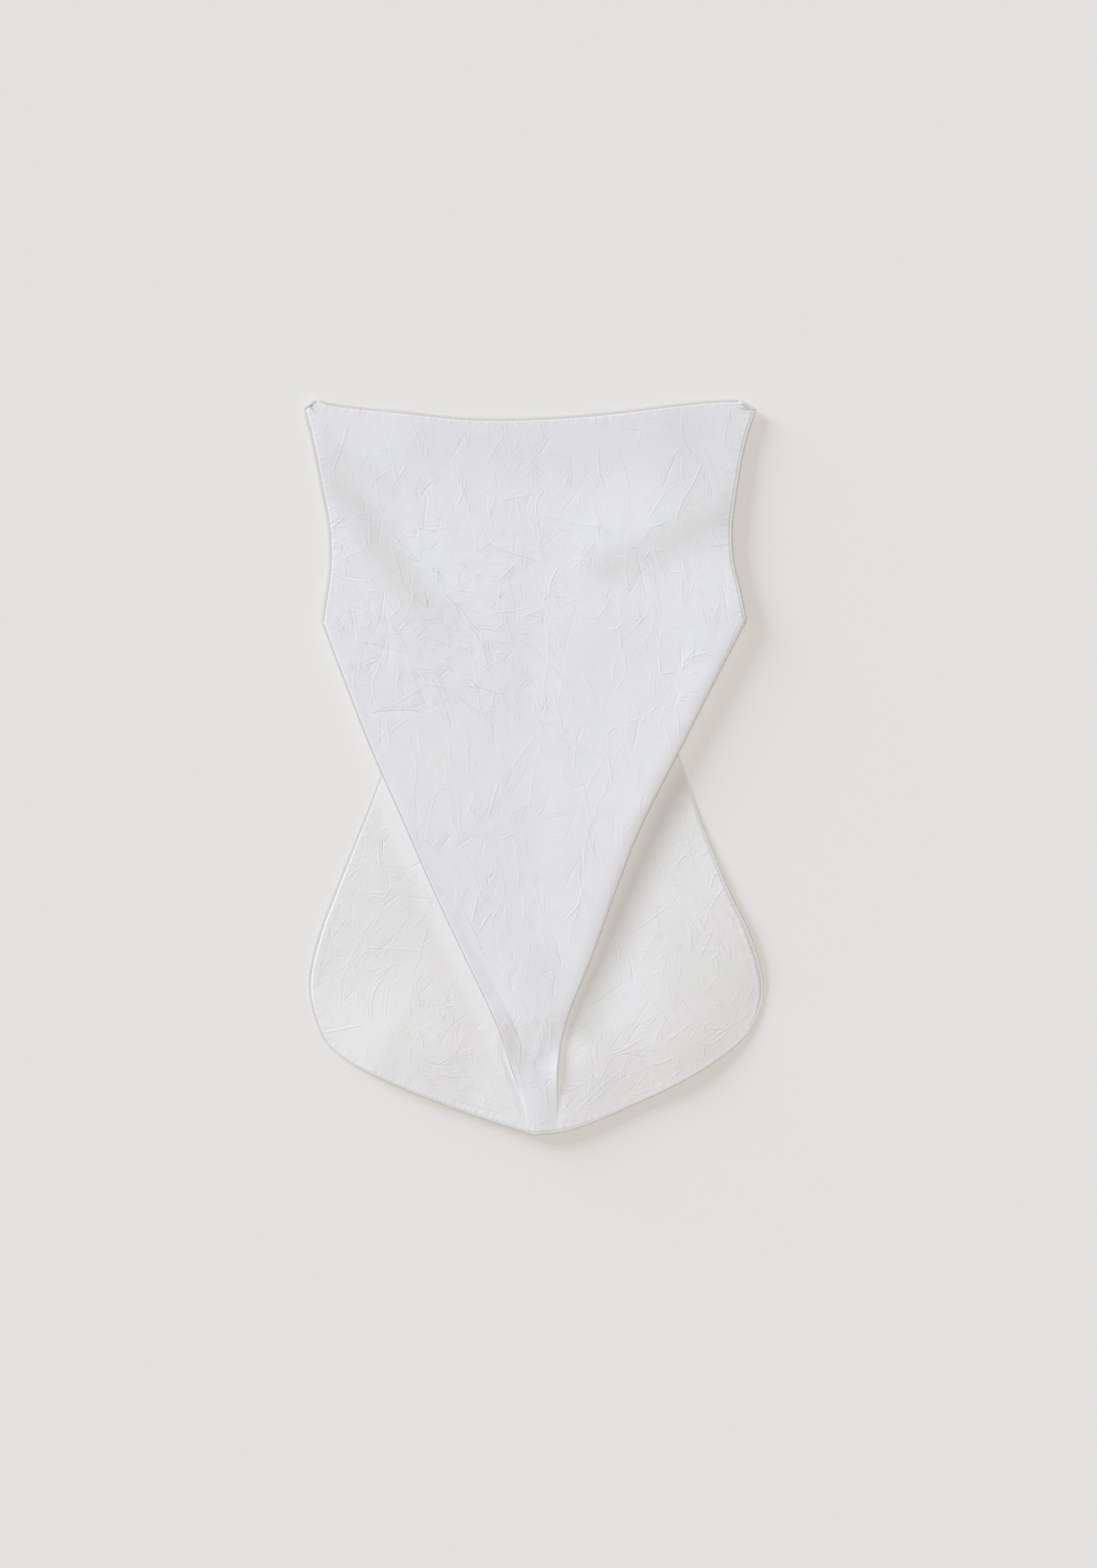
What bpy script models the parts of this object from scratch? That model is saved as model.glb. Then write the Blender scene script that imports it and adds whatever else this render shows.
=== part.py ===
"""Backless top of crinkled cotton, laid flat with its front up and both sides folded under.

Metres, +Z up, +Y toward the neck, origin on the surface under the middle of the outline.
Right and left are the wearer's: the front is up, so the wearer's right side lies at -X.

The cloth is one cut. The front lies on top. At each side it turns under along the side fold,
runs inward as the back wing, turns again along the hidden fold and comes out as the tail.
"""
import math

import bmesh
import bpy
import numpy as np

MM = 0.001

# Driving sizes
LENGTH = 664.0 * MM
CLOTH_WALL = 1.2 * MM
HEM_RADIUS = 1.1 * MM
SEAM_GAP = 0.3 * MM
BODY_INSET = 2 * HEM_RADIUS + SEAM_GAP
HEM_FLOOR_GAP = 0.05 * MM

# Heights of the cloth's middle above the surface
FLOOR_LEVEL = CLOTH_WALL / 2
LAYER_PITCH = 3.0 * MM
SHOULDER_HEIGHT = 6.8 * MM

# How far the front takes to come down from its raised side folds, and into the open middle of the back
LIP_WIDTH = 22 * MM
SAG_START = 8 * MM
SAG_WIDTH = 35 * MM

# Outlines in mm: across from the middle line, outward positive; level above the tip of the hem
NECKLINE = [  # across (+X positive), level
    (-198, 664), (-172, 659), (-120, 653.5), (-68, 648), (-29, 646.7), (10, 648),
    (49, 650.5), (88, 654.7), (127, 659.7), (166, 663.4), (187.5, 664),
]
ARMHOLE = {  # across, level: from the shoulder point to the underarm
    "right": [(208, 657), (200, 625), (192.5, 588), (185.5, 551), (184, 520), (186.5, 495), (192, 466)],
    "left": [(201, 656), (191, 625), (184, 588), (179, 551), (180, 520), (185.5, 495), (192, 466)],
}
SIDE_FOLD = {  # across, level: from the underarm to the hem
    "right": [(192, 466), (170, 408), (146, 347), (116, 279), (91.5, 223), (63, 161), (35, 100),
              (23, 65), (9, 31), (4, 0)],
    "left": [(192, 466), (162, 408), (131, 347), (96.5, 279), (74.5, 223), (52, 161), (30, 105),
             (22, 65), (21, 31), (20, 0)],
}
TAIL = {  # across, level: from the hidden fold down the free back edge, round the corner and along the hem
    "right": [(72.5, 495), (138, 326), (179, 223), (195, 180), (204, 137), (196.5, 99.5), (180.5, 75),
              (137, 50), (75, 25), (40, 13), (0, 0)],
    "left": [(72.5, 495), (130.5, 345), (151, 285), (175.5, 223), (196, 180), (208, 134), (199, 99.5),
             (176.5, 75), (137, 50), (85, 25), (36, 5.5), (0, 0)],
}
TAIL_CORNER = {"right": (180.5, 75), "left": (176.5, 75)}
NECK_CORNER = {"right": (198, 664), "left": (187.5, 664)}
BACK_EDGE_END = (72.5, 495)      # where the free back edge meets the hidden fold
HIDDEN_FOLD_FOOT_LEVEL = 7

# The rolls of the side folds, by level in mm: radius of the visible roll, radius of the hidden roll
ROLLS = [(0, 1.5, 1.0), (130, 2.2, 1.2), (223, 2.6, 1.4), (347, 3.0, 1.6), (466, 3.2, 1.6)]
FADE_START = {"right": 130, "left": 80}   # level in mm below which a side fold opens out toward the hem

# The largest soft folds on the front in mm: from (across +X, level) to (across, level), half width, height
FRONT_FOLDS = [
    ((-190, 612), (-96, 548), 15, 2.4),
    ((-176, 560), (-70, 458), 16, 2.0),
    ((172, 600), (84, 530), 16, 2.2),
    ((176, 540), (104, 486), 14, 2.4),
    ((-20, 470), (70, 404), 18, 1.6),
]

# Rows and columns of the cloth's grid
FRONT_LEVELS = [664, 657, 642, 624, 603, 582, 560, 538, 516, 497, 480]
SIDE_LEVELS = [446, 424, 400, 376, 352, 328, 304, 279, 254, 229, 204, 179, 154, 130, 112, 96, 80, 66, 52,
               40, 28, 16]
FRONT_COLUMNS = 20
WING_COLUMNS = 6
WING_ROW_GAP = 8                 # in mm, the least between the hidden fold's upper end and the row above it
TAIL_COLUMNS = 14
ROLL_STEPS = 4
HEM_BEVEL_RESOLUTION = 1
HEM_SEAM_GAP = 3.6 * MM          # from the shoulder seam's outer line to the hems' ends
SEAM_BORDER = 1.1 * MM           # of the seam above the front and below the back wing
SEAM_BEVEL = 0.4 * MM
WELD_DISTANCE = 0.02 * MM

# Where the front's edge settles above the underarm, and the rows take the neckline's dip, in mm
JOG_LENGTH = 20
ARMHOLE_SETTLE = 60
DIP_FOOT_LEVEL = 470
FRONT_FOLD_FADE = 120

SIDES = {"right": -1, "left": 1}
UNDERARM_LEVEL = 466
WING_MIDDLE_LEVEL = 480          # of the one row of the back wing between hidden fold and underarm

UNDERARM_MITRE = 1.8             # how far down the side fold a cut edge ends for each mm of its inset
ROLL_LIFT = 0.02                 # in mm, keeps the hidden rolls' lower side off the surface
FOOT_SEARCH = 20                 # in mm, the back edge meets the hidden roll within this of its end's level
POINT_GAP = 1                    # in mm, the least between two neighbouring points


def smoothstep(value):
    """Eased 0 to 1."""
    value = np.clip(value, 0.0, 1.0)
    return value * value * (3.0 - 2.0 * value)


def curve_through(points, step=4.0):
    """A Catmull-Rom curve through the points, both in mm, as an array of points about one step apart."""
    table = np.array(points, float)
    table = np.vstack([2 * table[0] - table[1], table, 2 * table[-1] - table[-2]])
    found = []
    for a, b, c, d in zip(table, table[1:], table[2:], table[3:]):
        count = max(1, int(np.linalg.norm(c - b) / step))
        for t in np.arange(count) / count:
            found.append(0.5 * (2 * b + (c - a) * t + (2 * a - 5 * b + 4 * c - d) * t ** 2
                                + (3 * b - a - 3 * c + d) * t ** 3))
    found.append(table[-2])
    return np.array(found)


def shifted(curve, distance):
    """The curve moved to its right-hand side by the distance, in the curve's own unit."""
    along = np.gradient(curve, axis=0)
    along /= np.linalg.norm(along, axis=1)[:, None]
    return curve + distance * np.column_stack([along[:, 1], -along[:, 0]])


def resampled(curve, fractions):
    """Points of the curve at the fractions of its length."""
    steps = np.linalg.norm(np.diff(curve, axis=0), axis=1)
    run = np.concatenate([[0.0], np.cumsum(steps)]) / steps.sum()
    return np.column_stack([np.interp(fractions, run, curve[:, axis]) for axis in range(curve.shape[1])])


def across_at(curve, level):
    """Where a falling curve of (across, level) crosses the level."""
    return float(np.interp(level, curve[::-1, 1], curve[::-1, 0]))


def roll_radii(level):
    """Radii of the visible and the hidden roll at a level, all in mm."""
    table = np.array(ROLLS, float)
    return np.interp(level, table[:, 0], table[:, 1]), np.interp(level, table[:, 0], table[:, 2])


def hidden_fold_across(level):
    """Across position of the hidden fold at a level, in mm."""
    share = (level - HIDDEN_FOLD_FOOT_LEVEL) / (BACK_EDGE_END[1] - HIDDEN_FOLD_FOOT_LEVEL)
    return BACK_EDGE_END[0] * share


def hidden_roll_across(level):
    """Across position at which the layers leave the hidden fold's roll, in mm."""
    return hidden_fold_across(level) + roll_radii(level)[1]


def shoulder_seam(side):
    """The shoulder seam's neck end, its direction toward the armhole and its inward normal."""
    neck = np.array(NECK_CORNER[side], float)
    along = np.array(ARMHOLE[side][0], float) - neck
    along /= np.linalg.norm(along)
    return neck, along, np.array([along[1], -along[0]])


def trimmed(path, side):
    """A path in metres from the shoulder seam onward, cut back where it comes too near the seam."""
    start, _, inward = shoulder_seam(side)
    path = np.array(path)
    flat = np.column_stack([SIDES[side] * path[:, 0], path[:, 1] + LENGTH / 2]) / MM
    clear = (flat - start) @ inward - HEM_SEAM_GAP / MM
    first = int(np.argmax(clear > 0))
    if first == 0:
        return path
    share = clear[first] / (clear[first] - clear[first - 1])
    return np.vstack([path[first] + (path[first - 1] - path[first]) * share, path[first:]])


class SideFold:
    """One side's fold: the section, in mm, of front, visible roll, back wing, hidden roll and tail."""

    def __init__(self, side):
        self.side = side
        self.crest = curve_through(SIDE_FOLD[side])

    def section(self, level):
        """The fold at a level, as (across, height) points: visible roll, back wing, hidden roll."""
        radius, under = roll_radii(level)
        start = FADE_START[self.side]
        share = min(1.0, level / start)
        turn = math.pi * float(smoothstep(share))
        crest = across_at(self.crest, level)
        full = max(level, start)
        lap = across_at(self.crest, full) - hidden_fold_across(full) - sum(roll_radii(full))
        lap *= share ** 3
        first = crest - radius * math.sin(min(turn, math.pi / 2))
        floor = FLOOR_LEVEL / MM + ROLL_LIFT
        top = floor + (radius + under) * (1 - math.cos(turn)) + lap * math.sin(turn)
        angles = turn * np.arange(ROLL_STEPS + 1) / ROLL_STEPS
        visible = np.column_stack([first + radius * np.sin(angles), top - radius * (1 - np.cos(angles))])
        shares = np.linspace(0, 1, WING_COLUMNS + 1)[:, None]
        wing = visible[-1] + shares * lap * np.array([math.cos(turn), -math.sin(turn)])
        hidden = wing[-1] + under * np.column_stack([
            math.sin(turn) - np.sin(turn - angles), math.cos(turn) - np.cos(turn - angles)])
        return visible, wing, hidden


class Outlines:
    """The cut edges of the cloth in mm, moved inward by an inset."""

    def __init__(self, inset):
        self.inset = inset
        self.underarm = UNDERARM_LEVEL - UNDERARM_MITRE * inset
        self.neckline = curve_through(NECKLINE) - [0, inset]
        self.sides = {side: self.side_edge(side) for side in SIDES}
        self.tails = {side: self.tail_edge(side) for side in SIDES}

    def side_edge(self, side):
        """The shoulder seam and the armhole, from the neck down to the underarm."""
        armhole = shifted(curve_through(ARMHOLE[side]), self.inset)
        start, along, inward = shoulder_seam(side)
        seam = start + self.inset * inward
        neck_end = seam + along * (self.neckline[0, 1] - seam[1]) / along[1]
        if side == "left":
            neck_end = seam + along * (self.neckline[-1, 1] - seam[1]) / along[1]
        arm_end = seam + along * (armhole[0, 0] - seam[0]) / along[0]
        return np.vstack([neck_end, arm_end, armhole[armhole[:, 1] < arm_end[1]]])

    def tail_edge(self, side):
        """The free back edge from the hidden roll down, the corner and the hem, to the hem's tip."""
        tail = shifted(curve_through(TAIL[side]), self.inset)
        tail[-1] = (0, self.inset)
        past = np.array([across - hidden_roll_across(level) for across, level in tail])
        first = int(np.argmax(past > 0))
        share = past[first] / (past[first] - past[first - 1])
        return np.vstack([tail[first] + (tail[first - 1] - tail[first]) * share, tail[first:]])

    def neck_level(self, across):
        """Level of the neckline at a signed across position."""
        return float(np.interp(across, self.neckline[:, 0], self.neckline[:, 1]))

    def hem_level(self, side, across):
        """Level of the hem on one side at an across position near the middle."""
        low = self.tails[side][len(self.tails[side]) // 2:]
        return float(np.interp(across, low[::-1, 0], low[::-1, 1]))

    def back_edge_across(self, side, level):
        """Across position of the free back edge at a level above the hidden fold."""
        neck, foot = np.array(NECK_CORNER[side], float), np.array(BACK_EDGE_END, float)
        run = neck - foot
        slant = np.linalg.norm(run) / run[1]
        return foot[0] + run[0] * (level - foot[1]) / run[1] + self.inset * slant

    def wing_top(self, side):
        """Level at which the free back edge meets the shoulder seam."""
        ends = self.sides[side][:2]
        past = [across - self.back_edge_across(side, level) for across, level in ends]
        return float(ends[0, 1] + (ends[1, 1] - ends[0, 1]) * past[0] / (past[0] - past[1]))

    def wing_foot(self, side):
        """Level at which the free back edge reaches the hidden roll."""
        levels = (BACK_EDGE_END[1] - FOOT_SEARCH, BACK_EDGE_END[1] + FOOT_SEARCH)
        past = [self.back_edge_across(side, level) - hidden_roll_across(level) for level in levels]
        return levels[0] + (levels[1] - levels[0]) * past[0] / (past[0] - past[1])


CUT_EDGE = Outlines(0.0)


def support_height(side, across, level):
    """Height in mm at which the front lies over one side's back wing, easing to the floor past it."""
    _, under = roll_radii(level)
    fade = smoothstep(level / FADE_START[side])
    over = FLOOR_LEVEL / MM + (2 * under + LAYER_PITCH / MM) * fade
    if level < BACK_EDGE_END[1]:
        inner = hidden_fold_across(level)
    else:
        inner = CUT_EDGE.back_edge_across(side, level)
    past = smoothstep((inner - across - SAG_START / MM) / (SAG_WIDTH / MM))
    return over + (FLOOR_LEVEL / MM - over) * past


def front_fold_height(across, level):
    """Height in mm that the front's largest soft folds add at a point."""
    total = 0.0
    point = np.array([across, level])
    for start, end, half_width, height in FRONT_FOLDS:
        start, end = np.array(start, float), np.array(end, float)
        run = end - start
        share = float(np.dot(point - start, run) / np.dot(run, run))
        away = np.linalg.norm(point - start - np.clip(share, 0, 1) * run)
        total += height * float(smoothstep(1 - away / half_width))
    return total


def to_metres(sign, across, level, height):
    """A point in metres from one in mm by across, level and height."""
    return (sign * across * MM, level * MM - LENGTH / 2, height * MM)


class FoldedCloth:
    """The middle surface of the folded cloth within cut edges that an inset moves inward."""

    def __init__(self, inset):
        self.outlines = Outlines(inset / MM)
        self.folds = {side: SideFold(side) for side in SIDES}
        self.wing_height = FLOOR_LEVEL / MM + ROLL_LIFT + 2 * roll_radii(UNDERARM_LEVEL)[1]
        self.fold_levels = [self.outlines.underarm] + SIDE_LEVELS + [0]

    def front_edge(self, side, level):
        """Across position and height of the front's side edge at a level."""
        underarm = self.outlines.underarm
        if level <= underarm:
            return self.folds[side].section(level)[0][0]
        across = across_at(self.outlines.sides[side], level)
        across_below, height_below = self.folds[side].section(underarm)[0][0]
        jog = across_at(self.outlines.sides[side], underarm + POINT_GAP) - across_below
        across -= jog * float(np.clip(1 - (level - UNDERARM_LEVEL) / JOG_LENGTH, 0, 1))
        share = float(smoothstep((level - underarm) / ARMHOLE_SETTLE))
        return np.array([across, height_below + (SHOULDER_HEIGHT / MM - height_below) * share])

    def front_height(self, across, level):
        """Height of the front at a signed across position."""
        height = max(support_height(side, sign * across, level) for side, sign in SIDES.items())
        height += front_fold_height(across, level) * float(smoothstep(level / FRONT_FOLD_FADE))
        for side, sign in SIDES.items():
            edge_across, edge_height = self.front_edge(side, min(level, self.outlines.sides[side][0, 1]))
            lip = float(np.clip(1 - (edge_across - sign * across) / (LIP_WIDTH / MM), 0, 1)) ** 2
            height += (edge_height - height) * lip
        return height

    def front_rows(self):
        """The rows of the front in metres, from the neckline to the hem."""
        top = LENGTH / MM - self.outlines.inset
        rows = []
        for level in [min(level, top) for level in FRONT_LEVELS] + self.fold_levels:
            right, left = (self.front_edge(side, level)[0] for side in SIDES)
            row = []
            for share in np.linspace(0, 1, FRONT_COLUMNS + 1):
                across = -right + (left + right) * share
                dip = top - self.outlines.neck_level(across)
                lowered = level - dip * float(smoothstep((level - DIP_FOOT_LEVEL) / (top - DIP_FOOT_LEVEL)))
                if level == 0:
                    lowered = self.outlines.hem_level("left" if across > 0 else "right", abs(across))
                row.append(to_metres(1, across, lowered, self.front_height(across, level)))
            rows.append(row)
        return rows

    def wing_rows(self, side):
        """The back wing above the underarm, where it has no roll at its outer edge."""
        rows = []
        top, foot = self.outlines.wing_top(side), self.outlines.wing_foot(side)
        above = [level for level in FRONT_LEVELS if foot + WING_ROW_GAP < level < top]
        for level in [top] + above + [foot, WING_MIDDLE_LEVEL]:
            outer = self.front_edge(side, level)[0]
            inner = hidden_roll_across(level)
            if level > foot:
                inner = self.outlines.back_edge_across(side, level)
            rows.append([(outer + (inner - outer) * share, level, self.wing_height)
                         for share in np.linspace(0, 1, WING_COLUMNS + 1)])
        return rows

    def hidden_turn(self, side):
        """The row in which the free back edge turns round the hidden fold, from back wing to tail."""
        levels = np.linspace(self.outlines.wing_foot(side), self.outlines.tails[side][0, 1], ROLL_STEPS + 1)
        return [(*self.folds[side].section(level)[2][step], level) for step, level in enumerate(levels)]

    def settled(self, side, rows):
        """Rows of (across, level, height) as metres, the row of level 0 laid along the hem."""
        return [[to_metres(SIDES[side], across, level or self.outlines.hem_level(side, across), height)
                 for across, level, height in row] for row in rows]

    def side_patches(self, side):
        """One side's visible roll, back wing, hidden roll and tail, as rows in metres."""
        fold = self.folds[side]
        visible, wing, hidden = ([[(across, level, height) for across, height in fold.section(level)[part]]
                                  for level in self.fold_levels] for part in range(3))
        turn = [(across, level, height) for across, height, level in self.hidden_turn(side)]
        middle = [(across, WING_MIDDLE_LEVEL, height)
                  for across, height in fold.section(WING_MIDDLE_LEVEL)[2]]
        hidden = [turn, middle] + hidden
        patches = [self.settled(side, rows) for rows in (visible, self.wing_rows(side) + wing, hidden)]
        return patches + [self.tail_rows(side, hidden)]

    def tail_rows(self, side, hidden):
        """One tail as a patch between the hidden fold, the free back edge and the hem."""
        inner = np.array([row[-1][:2] for row in hidden])
        inner[-1, 1] = self.outlines.hem_level(side, inner[-1, 0])
        tail = self.outlines.tails[side]
        corner = int(np.argmin(np.linalg.norm(tail - np.array(TAIL_CORNER[side]), axis=1)))
        outer, bottom = tail[:corner + 1], tail[corner:][::-1]
        bottom = np.vstack([inner[-1], bottom[bottom[:, 0] > inner[-1, 0] + POINT_GAP]])
        lengths = np.linalg.norm(np.diff(inner, axis=0), axis=1)
        down = np.concatenate([[0.0], np.cumsum(lengths)]) / lengths.sum()
        along = np.linspace(0, 1, TAIL_COLUMNS + 1)
        outside, below = resampled(outer, down), resampled(bottom, along)
        rows = []
        for v, first, last in zip(down, inner, outside):
            row = []
            for u, foot in zip(along, below):
                point = v * foot + (1 - u) * first + u * last - v * ((1 - u) * inner[-1] + u * outer[-1])
                height = FLOOR_LEVEL / MM + (0.0 if u else ROLL_LIFT)
                row.append(to_metres(SIDES[side], point[0], point[1], height))
            rows.append(row)
        return rows


def add_patch(mesh, rows):
    """Adds a grid of points, given row by row, to the mesh as quads."""
    grid = [[mesh.verts.new(point) for point in row] for row in rows]
    for upper, lower in zip(grid, grid[1:]):
        for a, b, c, d in zip(upper, upper[1:], lower[1:], lower):
            mesh.faces.new((a, d, c, b))


def make_material(name, colour, roughness):
    """A plain cloth material."""
    material = bpy.data.materials.new(name)
    material.use_nodes = True
    shader = material.node_tree.nodes["Principled BSDF"]
    shader.inputs["Base Color"].default_value = (*colour, 1.0)
    shader.inputs["Roughness"].default_value = roughness
    shader.inputs["Metallic"].default_value = 0.0
    return material


def add_object(name, data, material):
    """Links a new object that carries the data."""
    data.materials.append(material)
    item = bpy.data.objects.new(name, data)
    bpy.context.scene.collection.objects.link(item)
    return item


def add_body(material):
    """The cloth, cut in one and folded."""
    cloth = FoldedCloth(BODY_INSET)
    mesh = bmesh.new()
    add_patch(mesh, cloth.front_rows())
    for side in SIDES:
        for rows in cloth.side_patches(side):
            add_patch(mesh, rows)
    bmesh.ops.remove_doubles(mesh, verts=mesh.verts, dist=WELD_DISTANCE)
    bmesh.ops.recalc_face_normals(mesh, faces=mesh.faces)
    data = bpy.data.meshes.new("body")
    mesh.to_mesh(data)
    mesh.free()
    data.shade_smooth()
    item = add_object("body", data, material)
    wall = item.modifiers.new("wall", "SOLIDIFY")
    wall.thickness = CLOTH_WALL
    wall.offset = 0.0
    wall.use_even_offset = True


def add_hem(name, path, material):
    """A narrow rolled hem along a path in metres."""
    data = bpy.data.curves.new(name, "CURVE")
    data.dimensions = "3D"
    data.bevel_depth = HEM_RADIUS
    data.bevel_resolution = HEM_BEVEL_RESOLUTION
    data.use_fill_caps = True
    spline = data.splines.new("POLY")
    spline.points.add(len(path) - 1)
    for place, (x, y, z) in zip(spline.points, path):
        place.co = (x, y, max(z, HEM_RADIUS + HEM_FLOOR_GAP), 1.0)
    add_object(name, data, material)


def neck_hem_path(front):
    """The neckline's hem, from the right shoulder seam to the left one."""
    path = trimmed(front[0], "right")
    return trimmed(path[::-1], "left")[::-1]


def armhole_hem_path(front, patches, side):
    """One armhole's hem: down the front's edge, round the side fold and up the back wing's edge."""
    visible, wing, _, _ = patches
    column = 0 if side == "right" else -1
    down = [row[column] for row in front[:len(FRONT_LEVELS)]]
    up = [row[0] for row in wing[:len(wing) - len(visible)]]
    turn = trimmed(down, side)
    back = trimmed(up, side)[::-1]
    return np.vstack([turn, visible[0], back])


def outer_hem_path(patches, side):
    """The outer hem on one side: down the free back edge, round the hidden fold and tail, to the front."""
    _, wing, hidden, tail = patches
    edge = [row[-1] for row in wing[:len(wing) - len(hidden)]]
    round_tail = [row[-1] for row in tail[1:]] + tail[-1][-2::-1]
    return np.vstack([trimmed(edge, side), hidden[0], round_tail])


def add_shoulder_seam(side, wing_height, material):
    """The short seam that joins the front to the back wing at the shoulder."""
    start, along, inward = shoulder_seam(side)
    length = np.linalg.norm(np.array(ARMHOLE[side][0], float) - start)
    low = wing_height - SEAM_BORDER / MM
    high = SHOULDER_HEIGHT / MM + SEAM_BORDER / MM
    middle = start + along * length / 2 + inward * HEM_RADIUS / MM
    data = bpy.data.meshes.new("shoulder_seam_" + side)
    mesh = bmesh.new()
    bmesh.ops.create_cube(mesh, size=1.0)
    bmesh.ops.scale(mesh, verts=mesh.verts, vec=(length * MM, 2 * HEM_RADIUS, (high - low) * MM))
    mesh.to_mesh(data)
    mesh.free()
    item = add_object("shoulder_seam_" + side, data, material)
    sign = SIDES[side]
    item.location = to_metres(sign, middle[0], middle[1], (low + high) / 2)
    item.rotation_euler = (0, 0, math.atan2(along[1], sign * along[0]))
    edges = item.modifiers.new("soft edges", "BEVEL")
    edges.width = SEAM_BEVEL
    edges.segments = 2


def main():
    """Models the garment."""
    for item in list(bpy.data.objects):
        bpy.data.objects.remove(item)
    cotton = make_material("white_cotton", (0.72, 0.72, 0.74), 0.85)
    hem_cotton = make_material("hem_cotton", (0.76, 0.76, 0.77), 0.85)
    add_body(cotton)
    hems = FoldedCloth(HEM_RADIUS)
    front = hems.front_rows()
    patches = {side: hems.side_patches(side) for side in SIDES}
    add_hem("neck_hem", neck_hem_path(front), hem_cotton)
    for side in SIDES:
        add_hem("armhole_hem_" + side, armhole_hem_path(front, patches[side], side), hem_cotton)
        add_shoulder_seam(side, hems.wing_height, hem_cotton)
    right, left = (outer_hem_path(patches[side], side) for side in SIDES)
    add_hem("outer_hem", np.vstack([right, front[-1][1:-1], left[::-1]]), hem_cotton)


main()
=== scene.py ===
"""Looks of a backless top of crinkled white cotton, laid flat with both sides folded under.

The cloth is one cut. The front lies on top. At each side it turns under along the side fold, runs
inward as the back wing, turns again along the hidden fold and comes out as the tail.

Lengths in the shape classes are in mm: x across (the wearer's left is positive), level above the
tip of the hem, and height above the surface. Meshes are in metres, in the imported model's frame.
"""
import logging
import math
from collections.abc import Callable
from dataclasses import dataclass, field
from enum import Enum

import bmesh
import bpy
import numpy as np
from bpy.types import Material, Mesh, Node, NodeSocket, NodeTree, Object
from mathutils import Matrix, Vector

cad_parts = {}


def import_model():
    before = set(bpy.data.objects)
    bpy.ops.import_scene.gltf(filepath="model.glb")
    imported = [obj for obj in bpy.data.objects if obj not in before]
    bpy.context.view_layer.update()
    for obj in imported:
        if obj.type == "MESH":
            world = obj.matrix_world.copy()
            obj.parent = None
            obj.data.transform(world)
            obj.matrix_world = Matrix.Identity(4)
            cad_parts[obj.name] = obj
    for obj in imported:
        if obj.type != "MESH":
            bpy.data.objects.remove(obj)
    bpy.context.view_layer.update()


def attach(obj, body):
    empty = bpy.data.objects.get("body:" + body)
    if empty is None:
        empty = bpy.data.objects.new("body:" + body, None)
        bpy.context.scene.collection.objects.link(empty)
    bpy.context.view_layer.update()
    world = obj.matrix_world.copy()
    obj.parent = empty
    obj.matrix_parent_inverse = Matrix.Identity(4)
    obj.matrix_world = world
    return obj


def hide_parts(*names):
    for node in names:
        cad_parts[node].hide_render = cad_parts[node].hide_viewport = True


LOG = logging.getLogger("backless_top")
ROOT = "root"
MM = 0.001

LENGTH = 664.0                 # mm, from the shoulders to the tip of the hem
WALL = 0.5                     # mm, real thickness of the crinkled cotton
REST_HEIGHT = 0.6              # mm, middle of a layer that lies on the surface
SHOULDER_HEIGHT = 5.9          # mm
HEM_HALF_WIDTH = 1.1           # mm
STITCH_PITCH = 2.2             # mm

UNDERARM_LEVEL = 466.0
BACK_EDGE_END = (72.5, 495.0)  # where the free back edge meets the hidden fold
HIDDEN_FOLD_FOOT_LEVEL = 7.0
CREASE_TOP = 640.0             # mm, the level that scattered creases stay below
CREASE_MARGIN = 4.0            # mm, how far they stay from a fold or a free back edge
HEM_MARGIN = 5.0               # mm, how far they stay from a tail's bottom hem
FRONT_FOOT = 8.0               # mm, the lowest level that they have on the front
WING_FOOT = 30.0               # mm, the same on a hidden back wing
TAIL_SEED = 31
WING_SEED = 41
FORM_HALF_WIDTH = 5.0          # mm, of a placed crease's soft form
FORM_PER_STEP = 0.0035         # mm, its height for each step of how plain it is
LINE_PER_STEP = 0.016          # mm, the height of its sharp line for each step
CUT_MIDDLE = 0.35              # m, the middle line's place on the cut's UV map

Points = np.ndarray
Pair = tuple[float, float]
Table = tuple[tuple[float, ...], ...]


def smoothstep(value: Points | float) -> Points:
    """Eases a number or an array, clipped to 0 and 1, with a soft start and end."""
    clipped = np.clip(value, 0.0, 1.0)
    return clipped * clipped * (3.0 - 2.0 * clipped)


def curve_through(points: Table | Points, step: float = 2.0) -> Points:
    """Draws a Catmull-Rom curve through a few points.

    Args:
        points: the points that the curve passes.
        step: distance between the curve's own points.

    Returns:
        The curve's points, one to a row.
    """
    table = np.array(points, float)
    table = np.vstack([2 * table[0] - table[1], table, 2 * table[-1] - table[-2]])
    found = []
    for a, b, c, d in zip(table, table[1:], table[2:], table[3:]):
        count = max(1, int(np.linalg.norm(c - b) / step))
        for t in np.arange(count) / count:
            found.append(0.5 * (2 * b + (c - a) * t + (2 * a - 5 * b + 4 * c - d) * t ** 2
                                + (3 * b - a - 3 * c + d) * t ** 3))
    found.append(table[-2])
    return np.array(found)


def shifted(curve: Points, distance: float) -> Points:
    """Moves a curve to its right-hand side.

    Args:
        curve: points of (across, level).
        distance: how far it moves, in mm.

    Returns:
        The moved points.
    """
    along = np.gradient(curve, axis=0)
    along /= np.linalg.norm(along, axis=1)[:, None]
    return curve + distance * np.column_stack([along[:, 1], -along[:, 0]])


def shares_along(curve: Points) -> Points:
    """Gives each point of a curve its share of the way along it."""
    steps = np.linalg.norm(np.diff(curve, axis=0), axis=1)
    return np.concatenate([[0.0], np.cumsum(steps)]) / steps.sum()


def resampled(curve: Points, shares: Points) -> Points:
    """Reads a curve's points at shares of its length, from 0 to 1."""
    run = shares_along(curve)
    return np.column_stack([np.interp(shares, run, curve[:, axis]) for axis in range(curve.shape[1])])


def read_table(table: Table, level: Points | float, column: int = 1) -> Points:
    """Reads one column of a table at one or more levels, which stand in its first column."""
    rows = np.array(table)
    return np.interp(level, rows[:, 0], rows[:, column])


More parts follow.
